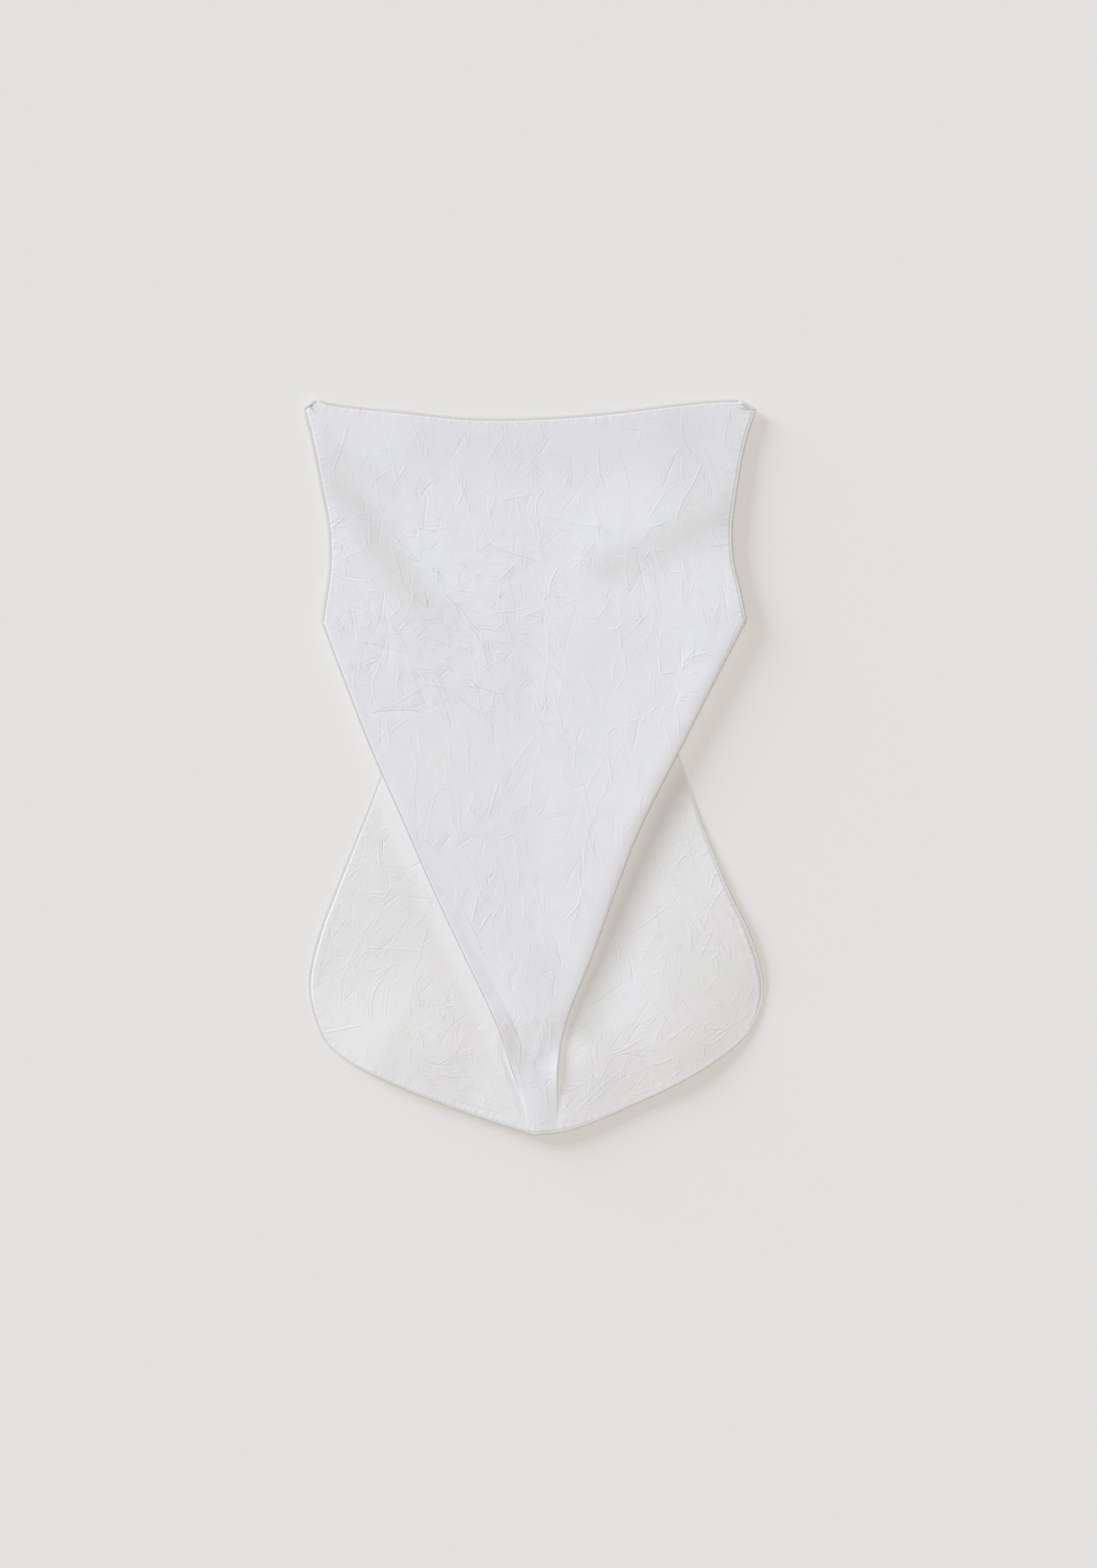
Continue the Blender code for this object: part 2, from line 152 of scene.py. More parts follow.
def across_at(curve: Points, level: Points | float) -> Points:
    """Reads where a falling curve of (across, level) crosses one or more levels."""
    return np.interp(level, curve[::-1, 1], curve[::-1, 0])


def mirrored(places: Points, start: Points, end: Points) -> Points:
    """Mirrors places across a line, as a flat fold does.

    Args:
        places: array whose last axis is (across, level).
        start: one end of the line.
        end: its other end.

    Returns:
        The mirrored places.
    """
    along = (end - start) / np.linalg.norm(end - start)
    away = places - start
    along_part = (away @ along)[..., None] * along
    return start + 2 * along_part - away


class Side(Enum):
    """The wearer's sides. The value is the sign of x."""

    RIGHT = -1
    LEFT = 1


class Panel(Enum):
    """The parts of the cloth between its folds."""

    FRONT = 0
    ROLL = 1
    WING = 2
    TAIL = 3


@dataclass(frozen=True)
class SideCut:
    """One side's outlines, as points of (across, level), and its fold's sizes.

    The side fold runs from the underarm to the hem, and the tail's edge from the hidden fold down
    the free back edge, round the corner and along the hem. Rolls hold level, visible radius and
    hidden radius. The fold opens out flat below the level where its fade starts. The squeeze narrows
    the visible roll, as where the fold is pressed. The lip holds level, width, how much the front
    rises before it reaches the edge, and the power of its slope: 1 is a flat facet, 2 or more a soft
    shoulder. The tail's rise holds level and height, and its puff is the height of its bulge.
    """

    side: Side
    neck_corner: Pair
    armhole: Table
    side_fold: Table
    tail: Table
    tail_corner: Pair
    rolls: Table
    fade_start: float
    roll_squeeze: float
    lip: Table
    tail_rise: Table
    tail_puff: float

    @property
    def sign(self) -> int:
        """The sign of x on this side."""
        return self.side.value

    def radii(self, level: Points | float) -> tuple[Points, Points]:
        """Reads the visible and the hidden roll's radius at one or more levels."""
        return read_table(self.rolls, level), read_table(self.rolls, level, 2)


RIGHT_CUT = SideCut(
    side=Side.RIGHT,
    neck_corner=(198, 664),
    armhole=((208, 657), (200, 625), (192.5, 588), (185.5, 551), (184, 520), (186.5, 495), (192, 466)),
    side_fold=((192, 466), (170, 408), (146, 347), (116, 279), (91.5, 223), (62.5, 161), (33, 100),
               (21.5, 65), (9, 31), (4, 0)),
    tail=((72.5, 495), (138, 326), (179, 223), (195, 180), (204, 137), (196.5, 99.5), (180.5, 75),
          (137, 50), (75, 25), (40, 13), (0, 0)),
    tail_corner=(180.5, 75),
    rolls=((0, 1.2, 1.0), (60, 1.5, 1.1), (100, 1.9, 1.1), (130, 2.8, 1.2), (200, 2.6, 1.4), (279, 3.0, 1.5),
           (466, 3.0, 1.6)),
    fade_start=130,
    roll_squeeze=0.45,
    lip=((0, 8, 0.0, 1.0), (60, 12, 0.0, 1.0), (100, 15, 0.0, 1.0), (217, 7, 0.0, 1.0), (279, 6, 0.1, 1.5),
         (320, 12, 0.0, 2.0), (664, 12, 0.0, 2.0)),
    tail_rise=((0, 0.0), (70, 0.6), (110, 1.8), (300, 1.8), (345, 1.0)),
    tail_puff=2.0,
)
LEFT_CUT = SideCut(
    side=Side.LEFT,
    neck_corner=(187.5, 664),
    armhole=((201, 656), (191, 625), (184, 588), (179, 551), (180, 520), (185.5, 495), (192, 466)),
    side_fold=((192, 466), (162, 408), (131, 347), (96.5, 279), (74.5, 223), (52, 161), (30, 105),
               (22, 65), (21, 31), (20, 0)),
    tail=((72.5, 495), (130.5, 345), (151, 285), (175.5, 223), (196, 180), (208, 134), (199, 99.5),
          (176.5, 75), (137, 50), (85, 25), (36, 5.5), (0, 0)),
    tail_corner=(176.5, 75),
    rolls=((0, 1.0, 0.8), (60, 1.2, 0.9), (80, 1.5, 1.0), (130, 2.0, 1.2), (223, 2.3, 1.4), (300, 3.0, 1.6),
           (466, 3.0, 1.6)),
    fade_start=80,
    roll_squeeze=0.3,
    lip=((0, 14, 0.0, 1.6), (60, 18, 0.3, 2.0), (100, 16, 0.8, 3.0), (347, 16, 1.1, 3.0), (440, 14, 0.7, 3.0),
         (500, 12, 0.1, 2.0), (664, 12, 0.0, 2.0)),
    tail_rise=((0, 0.0), (345, 0.0)),
    tail_puff=3.2,
)
CUTS = (RIGHT_CUT, LEFT_CUT)
HEM_UP_SHARES = {"neck_hem": 0.5, "armhole_hem_right": 0.1, "armhole_hem_left": 0.1, "outer_hem": 0.3}
NECKLINE: Table = (
    (-198, 664), (-172, 659), (-120, 653.5), (-68, 648), (-29, 646.7), (10, 648),
    (49, 650.5), (88, 654.7), (127, 659.7), (166, 663.4), (187.5, 664),
)


def hidden_fold_across(level: Points | float) -> Points:
    """Reads the hidden fold's across position at one or more levels, in mm."""
    share = (level - HIDDEN_FOLD_FOOT_LEVEL) / (BACK_EDGE_END[1] - HIDDEN_FOLD_FOOT_LEVEL)
    return BACK_EDGE_END[0] * share


@dataclass
class CutEdges:
    """The cut edges of the cloth, moved inward by an inset."""

    inset: float
    mitre: float = 1.8
    search: float = 20.0
    search_levels: int = 81

    def __post_init__(self) -> None:
        """Works the edges out."""
        self.underarm = UNDERARM_LEVEL - self.mitre * self.inset
        self.neckline = curve_through(NECKLINE) - [0, self.inset]
        self.sides = {cut.side: self.side_edge(cut) for cut in CUTS}
        self.tails = {cut.side: self.tail_edge(cut) for cut in CUTS}

    def seam(self, cut: SideCut) -> tuple[Points, Points, Points]:
        """Places the shoulder seam.

        Args:
            cut: the side.

        Returns:
            Its neck end, its direction toward the armhole and its inward normal.
        """
        neck = np.array(cut.neck_corner, float)
        along = np.array(cut.armhole[0], float) - neck
        along /= np.linalg.norm(along)
        return neck, along, np.array([along[1], -along[0]])

    def side_edge(self, cut: SideCut) -> Points:
        """Draws the shoulder seam's line and the armhole.

        Args:
            cut: the side.

        Returns:
            Points from the neck down to the underarm.
        """
        armhole = shifted(curve_through(cut.armhole), self.inset)
        neck, along, inward = self.seam(cut)
        seam = neck + self.inset * inward
        neck_level = self.neckline[0 if cut.side is Side.RIGHT else -1, 1]
        neck_end = seam + along * (neck_level - seam[1]) / along[1]
        arm_end = seam + along * (armhole[0, 0] - seam[0]) / along[0]
        return np.vstack([neck_end, arm_end, armhole[armhole[:, 1] < arm_end[1]]])

    def tail_edge(self, cut: SideCut) -> Points:
        """Draws the free back edge from the hidden roll down, the corner and the hem.

        Args:
            cut: the side.

        Returns:
            Points from the hidden roll to the hem's tip.
        """
        tail = shifted(curve_through(cut.tail), self.inset)
        tail[-1] = (0, self.inset)
        past = tail[:, 0] - self.hidden_roll_across(cut, tail[:, 1])
        first = int(np.argmax(past > 0))
        share = past[first] / (past[first] - past[first - 1])
        return np.vstack([tail[first] + (tail[first - 1] - tail[first]) * share, tail[first:]])

    def hidden_roll_across(self, cut: SideCut, level: Points | float) -> Points:
        """Reads where the layers leave the hidden fold's roll, at one or more levels."""
        return hidden_fold_across(level) + cut.radii(level)[1]

    def hem_level(self, cut: SideCut, across: Points | float) -> Points:
        """Reads the hem's level near the middle line at one or more across positions."""
        low = self.tails[cut.side][len(self.tails[cut.side]) // 2:]
        return np.interp(across, low[::-1, 0], low[::-1, 1])

    def back_edge_across(self, cut: SideCut, level: Points | float) -> Points:
        """Reads the free back edge above the hidden fold.

        Args:
            cut: the side.
            level: one or more levels.

        Returns:
            The across positions.
        """
        foot = np.array(BACK_EDGE_END)
        run = np.array(cut.neck_corner, float) - foot
        slant = np.linalg.norm(run) / run[1]
        return foot[0] + run[0] * (level - foot[1]) / run[1] + self.inset * slant

    def wing_top(self, cut: SideCut) -> float:
        """Finds the level at which the free back edge meets the shoulder seam.

        Args:
            cut: the side.

        Returns:
            The level.
        """
        ends = self.sides[cut.side][:2]
        past = ends[:, 0] - self.back_edge_across(cut, ends[:, 1])
        return float(ends[0, 1] + (ends[1, 1] - ends[0, 1]) * past[0] / (past[0] - past[1]))

    def wing_foot(self, cut: SideCut) -> float:
        """Finds the level at which the free back edge reaches the hidden roll.

        Args:
            cut: the side.

        Returns:
            The level.
        """
        middle = BACK_EDGE_END[1]
        levels = np.linspace(middle - self.search, middle + self.search, self.search_levels)
        past = self.back_edge_across(cut, levels) - self.hidden_roll_across(cut, levels)
        return float(np.interp(0.0, past, levels))


@dataclass(frozen=True)
class Crease:
    """One crease, given in a table or placed by seed.

    It runs through points of (x, level) in mm. Its soft form has the half width and the height, and
    its sharp line has the strength, a height in mm that is negative for a valley.
    """

    points: tuple[Pair, ...]
    half_width: float = 6.0
    height: float = 0.0
    strength: float = 0.0
    step: float = 5.0

    def line(self) -> Points:
        """Draws the crease's line."""
        return curve_through(self.points, self.step) if len(self.points) > 2 else np.array(self.points, float)

    def measure(self, places: Points) -> tuple[Points, Points]:
        """Measures places against the line.

        Args:
            places: points of (x, level).

        Returns:
            Signed distance from the line, and the share of the way along it.
        """
        line = self.line()
        run = shares_along(line)
        best = np.full(len(places), np.inf)
        signed = np.full(len(places), np.inf)
        share = np.zeros(len(places))
        for index, (a, b) in enumerate(zip(line, line[1:])):
            t = np.clip((places - a) @ (b - a) / ((b - a) @ (b - a)), 0, 1)
            away = places - a - t[:, None] * (b - a)
            distance = np.hypot(away[:, 0], away[:, 1])
            side = np.sign((b - a)[0] * away[:, 1] - (b - a)[1] * away[:, 0])
            nearer = distance < best
            best = np.where(nearer, distance, best)
            signed = np.where(nearer, np.where(side == 0, 1, side) * distance, signed)
            share = np.where(nearer, run[index] + t * (run[index + 1] - run[index]), share)
        return signed, share


@dataclass(frozen=True)
class Terrace:
    """A broad soft step in the cloth: it lies lower on the right of the line from start to end.

    The step is as wide as its slope and evens out within its reach on both sides.
    """

    start: Pair
    end: Pair
    drop: float
    slope_width: float
    reach: float = 90.0
    end_share: float = 0.4

    def at(self, places: Points) -> Points:
        """Reads the step's height.

        Args:
            places: points of (x, level).

        Returns:
            Heights in mm.
        """
        start = np.array(self.start, float)
        run = np.array(self.end, float) - start
        length = float(np.linalg.norm(run))
        along = (places - start) @ run / length
        across = (places - start) @ np.array([-run[1], run[0]]) / length
        fade = length * self.end_share
        ends = smoothstep(along / fade) * smoothstep((length - along) / fade)
        step = smoothstep(0.5 + across / self.slope_width) - 0.5
        return self.drop * step * ends * smoothstep(1 - np.abs(across) / self.reach)


@dataclass(frozen=True)
class PaintedShade:
    """A painted shade along a line, standing in for shade and cast shadow; where negative, a painted
    highlight.
    """

    points: tuple[Pair, ...]
    half_width: float
    shade: float

    def at(self, places: Points) -> Points:
        """Reads the shade at places."""
        signed, _ = Crease(self.points).measure(places)
        return self.shade * smoothstep(1 - np.abs(signed) / self.half_width)


@dataclass(frozen=True)
class SoftNoise:
    """Seeded smooth unevenness, as cloth keeps it from wearing and washing."""

    cell: Pair
    seed: int
    size: int = 256

    def at(self, places: Points) -> Points:
        """Reads the unevenness.

        Args:
            places: points of (x, level) in mm.

        Returns:
            Values that lie mostly between -1 and 1.
        """
        lattice = np.random.default_rng(self.seed).uniform(-1, 1, (self.size, self.size))
        grid = places / np.array(self.cell) + self.size / 2
        low = np.floor(grid).astype(int)
        part = smoothstep(grid - low)
        column, row = (low % (self.size - 1)).T
        near, far = (lattice[line, row] * (1 - part[:, 1]) + lattice[line, row + 1] * part[:, 1]
                     for line in (column, column + 1))
        return near * (1 - part[:, 0]) + far * part[:, 0]


@dataclass
class CreaseSet:
    """The creases of one panel. Sharp lines are dealt to layers, so that no two in one meet."""

    creases: list[Crease]
    terraces: tuple[Terrace, ...] = ()
    layer_count: int = 8
    separation: float = 8.5
    reach: float = 4.5
    fade: float = 2.0
    form_end: float = 0.35
    line_end: float = 0.22

    def __post_init__(self) -> None:
        """Deals the sharp creases to layers in their given order, the placed ones first."""
        self.layers: list[list[Crease]] = [[] for _ in range(self.layer_count)]
        taken: list[list[Points]] = [[] for _ in range(self.layer_count)]
        for crease in self.creases:
            line = curve_through(crease.points, 3.0)
            for layer, lines in zip(self.layers, taken):
                if all(self.apart(line, other) for other in lines):
                    layer.append(crease)
                    lines.append(line)
                    break

    def apart(self, line: Points, other: Points) -> bool:
        """Tests that two lines keep the separation.

        Args:
            line: points of one crease.
            other: points of another.

        Returns:
            True if they do.
        """
        if (line.min(axis=0) - other.max(axis=0) > self.separation).any():
            return True
        if (other.min(axis=0) - line.max(axis=0) > self.separation).any():
            return True
        gaps = line[:, None, :] - other[None, :, :]
        return bool((gaps ** 2).sum(axis=2).min() > self.separation ** 2)

    def near(self, crease: Crease, places: Points, margin: float) -> Points:
        """Picks the places close to a crease.

        Args:
            crease: the crease.
            places: points of (x, level).
            margin: how far from its line counts.

        Returns:
            Indices of the places.
        """
        line = crease.line()
        low, high = line.min(axis=0) - margin, line.max(axis=0) + margin
        return np.flatnonzero(((places > low) & (places < high)).all(axis=1))

    def height(self, places: Points) -> Points:
        """Adds up the soft forms.

        Args:
            places: points of (x, level).

        Returns:
            Heights in mm.
        """
        total = np.zeros(len(places))
        for terrace in self.terraces:
            total += terrace.at(places)
        for crease in self.creases:
            if crease.height == 0:
                continue
            found = self.near(crease, places, crease.half_width)
            signed, share = crease.measure(places[found])
            taper = smoothstep(np.minimum(share, 1 - share) / self.form_end)
            total[found] += crease.height * taper * smoothstep(1 - np.abs(signed) / crease.half_width)
        return total

    def channels(self, places: Points) -> list[Points]:
        """Measures the places against the sharp lines, layer by layer.

        Args:
            places: points of (x, level).

        Returns:
            For each layer an array of signed distance, strength and 0, in mm.
        """
        found = []
        for layer in self.layers:
            values = np.zeros((len(places), 3))
            values[:, 0] = self.reach
            for crease in layer:
                index = self.near(crease, places, self.reach)
                signed, share = crease.measure(places[index])
                ends = smoothstep(np.minimum(share, 1 - share) / self.line_end)
                beside = smoothstep((self.reach - np.abs(signed)) / self.fade)
                closer = np.abs(signed) < np.abs(values[index, 0])
                chosen = index[closer]
                values[chosen, 0] = signed[closer]
                values[chosen, 1] = (crease.strength * ends * beside)[closer]
            found.append(values)
        return found


@dataclass
class Crumple:
    """Scatters a panel's smaller creases as chains that bend, fork and meet, mostly along the lean.

    Lengths are in mm and angles in degrees. The shares are chances: of a chain that runs across the
    lean, of a fan of short creases at a chain's start, and of a ridge rather than a valley. A chain
    has fewer forks than the first number of forks says, and each of those fewer than the next says.
    """

    seed: int
    starts: int
    area: tuple[float, float, float, float]
    lean: float
    inside: Callable[[float, float], bool]
    spread: float = 24.0
    strength: float = 0.12
    across_share: float = 0.12
    fan_share: float = 0.06
    ridge_share: float = 0.6
    usual_length: float = 26.0
    length_spread: float = 0.55
    lengths: Pair = (9.0, 100.0)
    steps: Pair = (6.0, 13.0)
    bend: float = 8.0
    forks: tuple[int, ...] = (3, 2)
    fan_counts: tuple[int, int] = (3, 6)
    fan_bend: float = 6.0
    fan_angle: float = 38.0
    fan_lengths: Pair = (9.0, 24.0)
    fork_angles: Pair = (18.0, 55.0)
    fork_lengths: Pair = (0.3, 0.7)
    strongest: float = 2.2
    half_widths: Pair = (5.0, 9.0)
    forms: Pair = (0.1, 0.6)
    found: list[Crease] = field(default_factory=list)

    def creases(self) -> list[Crease]:
        """Grows the chains.

        Returns:
            The creases.
        """
        rng = np.random.default_rng(self.seed)
        for _ in range(self.starts):
            place = (rng.uniform(self.area[0], self.area[2]), rng.uniform(self.area[1], self.area[3]))
            turn = self.lean + rng.normal(0, self.spread) + 180.0 * (rng.random() < 0.5)
            if rng.random() < self.across_share:
                turn += 90.0
            length = rng.lognormal(math.log(self.usual_length), self.length_spread)
            self.grow(rng, place, turn, float(np.clip(length, *self.lengths)), 0)
            if rng.random() < self.fan_share:
                self.fan(rng, place, turn)
        return self.found

    def fan(self, rng: np.random.Generator, place: Pair, turn: float) -> None:
        """Spreads a few short creases from one place.

        Args:
            rng: the seeded generator.
            place: where they start.
            turn: their middle direction in degrees from lengthwise.
        """
        for offset in np.linspace(-self.fan_angle, self.fan_angle, int(rng.integers(*self.fan_counts))):
            new_turn = turn + offset + rng.normal(0, self.fan_bend)
            self.grow(rng, place, new_turn, float(rng.uniform(*self.fan_lengths)), len(self.forks))

    def grow(self, rng: np.random.Generator, place: Pair, turn: float, length: float,
             depth: int) -> None:
        """Grows one chain and, at times, its forks.

        Args:
            rng: the seeded generator.
            place: where the chain starts.
            turn: its direction in degrees from lengthwise.
            length: its length in mm.
            depth: how many forks lie before it.
        """
        points, run = [place], 0.0
        while run < length:
            step = float(rng.uniform(*self.steps))
            turn += rng.normal(0, self.bend)
            radians = math.radians(turn)
            place = (points[-1][0] + math.sin(radians) * step, points[-1][1] + math.cos(radians) * step)
            if not self.inside(*place):
                break
            points.append(place)
            run += step
        if len(points) < 2 or not self.inside(*points[0]):
            return
        strength = self.strength * min(float(rng.lognormal(0, 0.5)), self.strongest)
        strength *= 1 if rng.random() < self.ridge_share else -1
        self.found.append(Crease(tuple(points), float(rng.uniform(*self.half_widths)),
                                 strength * float(rng.uniform(*self.forms)), strength))
        if depth < len(self.forks):
            for _ in range(int(rng.integers(0, self.forks[depth]))):
                node = points[int(rng.integers(1, len(points)))]
                fork = turn + float(rng.choice([-1, 1])) * rng.uniform(*self.fork_angles)
                self.grow(rng, node, fork, length * float(rng.uniform(*self.fork_lengths)), depth + 1)


@dataclass
class GridSizes:
    """Rows and columns of the cloth's grid."""

    top_rows: int = 70
    fold_rows: int = 164
    turn_rows: int = 9
    front_columns: int = 140
    halving_levels: tuple[float, ...] = (230.0, 90.0)
    wing_rows: int = 58
    wing_columns: int = 6
    visible_steps: int = 6
    hidden_steps: int = 4
    tail_columns: int = 44

    def columns_at(self, level: float) -> int:
        """The front's columns at a level, fewer where it is narrow."""
        return self.front_columns // 2 ** sum(level < limit for limit in self.halving_levels)


@dataclass
class Relief:
    """Soft folds and creases of every panel."""

    front: CreaseSet
    tails: dict[Side, CreaseSet]
    wings: dict[Side, CreaseSet]
    broad: SoftNoise = SoftNoise((30.0, 60.0), 11)
    fine: SoftNoise = SoftNoise((9.0, 20.0), 12)
    broad_height: float = 0.16
    fine_height: float = 0.05

    def unevenness(self, places: Points) -> Points:
        """Broad and fine unevenness at places, in mm."""
        return self.broad_height * self.broad.at(places) + self.fine_height * self.fine.at(places)

    def front_at(self, places: Points) -> Points:
        """Relief of the front at places, in mm."""
        return self.front.height(places) + self.unevenness(places)

    def tail_at(self, side: Side, places: Points) -> Points:
        """Relief of one tail at places, in mm."""
        return self.tails[side].height(places) + self.unevenness(places)


@dataclass
class Patch:
    """A grid of points with its panel. Rows hold (x, level, height); cuts hold (x, level) laid flat."""

    panel: Panel
    rows: list[Points]
    cuts: list[Points]


@dataclass
class FoldedCloth:
    """The middle surface of the folded cloth within cut edges that an inset moves inward.

    All sizes are in mm, apart from the shares. The pitches hold level and the distance from the back
    wing to the front. A pair holds where a form starts or ends and the width over which it fades.
    The waves of the lift hold height as a share, length and phase.
    """

    inset: float
    relief: Relief
    grid: GridSizes = field(default_factory=GridSizes)
    wedge_share: float = 0.06
    wedge_power: int = 4
    neck_dip_foot: float = 470.0
    same_level: float = 1e-6
    armhole_settle: float = 60.0
    jog_length: float = 20.0
    sag_start: float = 4.0
    sag_width: float = 85.0
    sag_share: float = 0.10
    side_blend: float = 60.0
    lip_fade: float = 75.0
    hem_blend: float = 30.0
    edge_taper: float = 7.0
    deepest: float = 0.2
    pitches: Table = ((130, 4.0), (300, 6.0), (470, 6.0), (664, 2.2))
    edge_drop: float = 0.15
    hem_lift: float = 4.6
    lift_top: float = 260.0
    lift_reach: float = 150.0
    lift_sides: Pair = (140.0, 70.0)
    waves: Table = ((0.07, 21.0, 0.6), (0.03, 9.0, 0.0))
    tip_lift: float = 0.5
    tip_width: float = 45.0
    rounding: float = 14.0
    rounding_share: float = 0.6
    batch: int = 4000
    middle_fade: float = 115.0
    neck_lift: float = 2.0
    neck_reach: float = 75.0
    neck_sides: Pair = (100.0, 75.0)
    rise_outward: float = 21.0
    rise_inward: float = 14.0
    relief_floor: float = 0.1
    relief_hardness: float = 4.0
    open_start: Pair = (-6.0, 12.0)
    open_fold: float = 10.0
    open_reach: float = 60.0
    open_share: float = 0.4
    dome_width: float = 75.0
    dome_end: Pair = (210.0, 140.0)

    def __post_init__(self) -> None:
        """Works out the edges and the rows' levels."""
        self.edges = CutEdges(self.inset)
        self.top = LENGTH - self.inset
        self.fold_levels = np.linspace(self.edges.underarm, 0.0, self.grid.fold_rows + 1)
        above = np.linspace(self.top, self.edges.underarm, self.grid.top_rows + 1)[:-1]
        self.front_levels = np.concatenate([above, self.fold_levels])
        self.crests = {cut.side: curve_through(cut.side_fold) for cut in CUTS}
        hems = []
        for cut in CUTS:
            edge = self.edges.tails[cut.side]
            hems.append(edge[int(np.argmax(edge[:, 0])):] * [cut.sign, 1])
        self.hem_points = np.vstack(hems)[::3]

    def section(self, cut: SideCut, levels: Points) -> tuple[Points, Points, Points]:
        """Draws the fold's section at each level.

        Args:
            cut: the side.
            levels: the levels.

        Returns:
            Arrays of (across, height) for the visible roll, the back wing and the hidden roll.
        """
        radius, under = cut.radii(levels)
        share = np.minimum(1.0, levels / cut.fade_start)
        turn = math.pi * smoothstep(share)
        crest = across_at(self.crests[cut.side], levels)
        full = np.maximum(levels, cut.fade_start)
        full_radii = cut.radii(full)
        lap = across_at(self.crests[cut.side], full) - hidden_fold_across(full)
        lap -= full_radii[0] * cut.roll_squeeze + full_radii[1]
        flat = self.wedge_share * levels * (1 - share) ** self.wedge_power
        lap = lap * share ** self.wedge_power + flat
        narrow = radius * cut.roll_squeeze
        first = crest - narrow * np.sin(np.minimum(turn, math.pi / 2))
        top = REST_HEIGHT + (radius + under) * (1 - np.cos(turn)) + lap * np.sin(turn)
        angles = turn[:, None] * np.arange(self.grid.visible_steps + 1) / self.grid.visible_steps
        widths = np.linspace(0, 1, self.grid.visible_steps + 1) * flat[:, None]
        visible = np.stack([first[:, None] + narrow[:, None] * np.sin(angles) + widths,
                            top[:, None] - radius[:, None] * (1 - np.cos(angles))], axis=2)
        shares = np.linspace(0, 1, self.grid.wing_columns + 1)
        down = np.stack([lap * np.cos(turn), -lap * np.sin(turn)], axis=1)
        wing = visible[:, -1:, :] + shares[None, :, None] * down[:, None, :]
        angles = turn[:, None] * np.arange(self.grid.hidden_steps + 1) / self.grid.hidden_steps
        back = turn[:, None] - angles
        hidden = wing[:, -1:, :] + under[:, None, None] * np.stack(
            [np.sin(turn)[:, None] - np.sin(back), np.cos(turn)[:, None] - np.cos(back)], axis=2)
        hidden[..., 0] += np.linspace(0, 1, self.grid.hidden_steps + 1) * flat[:, None]
        return visible, wing, hidden

    def front_edge(self, cut: SideCut, levels: Points) -> tuple[Points, Points]:
        """Reads the front's side edge.

        Args:
            cut: the side.
            levels: the levels.

        Returns:
            Across positions and heights.
        """
        underarm = self.edges.underarm
        fold = self.section(cut, np.minimum(levels, underarm))[0][:, 0]
        corner = self.section(cut, np.array([underarm]))[0][0, 0]
        armhole = across_at(self.edges.sides[cut.side], levels)
        jog = across_at(self.edges.sides[cut.side], underarm + 1) - corner[0]
        armhole = armhole - jog * np.clip(1 - (levels - UNDERARM_LEVEL) / self.jog_length, 0, 1)
        share = smoothstep((levels - underarm) / self.armhole_settle)
        height = corner[1] + (self.over_wing(cut, levels) - self.edge_drop - corner[1]) * share
        above = levels > underarm
        return np.where(above, armhole, fold[:, 0]), np.where(above, height, fold[:, 1])

    def over_wing(self, cut: SideCut, levels: Points) -> Points:
        """Height of the front over the back wing at one or more levels."""
        layers = 2 * cut.radii(levels)[1] + read_table(self.pitches, levels)
        return REST_HEIGHT + layers * smoothstep(levels / self.middle_fade)

    def support(self, cut: SideCut, across: Points, levels: Points) -> Points:
        """Height at which the front lies over one side's back wing, easing down past it.

        Args:
            cut: the side.
            across: across positions.
            levels: their levels.

        Returns:
            The heights.
        """
        over = self.over_wing(cut, levels)
        inner = np.where(levels < BACK_EDGE_END[1], hidden_fold_across(levels),
                         self.edges.back_edge_across(cut, levels) - self.inset)
        past = smoothstep((inner - across - self.sag_start) / self.sag_width)
        return over + (REST_HEIGHT - over) * past * self.sag_share

    def front_height(self, x: Points, levels: Points, places: Points) -> Points:
        """Height of the front, with its raised edges and its relief.

        Args:
            x: places across.
            levels: their nominal levels.
            places: points of (x, level) where the relief is read.

        Returns:
            The heights.
        """
        left_share = smoothstep(0.5 + x / self.side_blend)
        right, left = (self.support(cut, cut.sign * x, levels) for cut in (RIGHT_CUT, LEFT_CUT))
        height = right * (1 - left_share) + left * left_share
        high = smoothstep(1 - (self.top - levels) / self.neck_reach)
        start, fade = self.neck_sides
        height = height + self.neck_lift * high * (1 - smoothstep((np.abs(x) - start) / fade))
        beside = np.full(len(x), np.inf)
        lips = []
        for cut in CUTS:
            edge, edge_height = self.front_edge(cut, np.minimum(levels, self.edges.sides[cut.side][0, 1]))
            away = edge - cut.sign * x
            by_fold = levels < self.edges.underarm + self.jog_length
            beside = np.minimum(beside, np.where(by_fold, away, np.inf))
            width, rise, power = (read_table(cut.lip, levels, column) for column in (1, 2, 3))
            height = height + rise * (1 - smoothstep((away - width) / self.lip_fade))
            lips.append((np.clip(1 - away / width, 0, 1) ** power, edge_height))
        for lip, edge_height in lips:
            height = height + (edge_height - height) * lip
        height = height + self.relief.front_at(places) * smoothstep(beside / self.edge_taper)
        return np.maximum(height, REST_HEIGHT - self.deepest)

    def settled(self, cut: SideCut, across: Points, levels: Points) -> Points:
        """Moves the lowest levels onto the hem.

        Args:
            cut: the side.
            across: across positions.
            levels: nominal levels.

        Returns:
            The levels that the points get.
        """
        hem = self.edges.hem_level(cut, np.abs(across))
        low = hem + levels * (self.hem_blend - hem) / self.hem_blend
        return np.where(levels < self.hem_blend, low, levels)

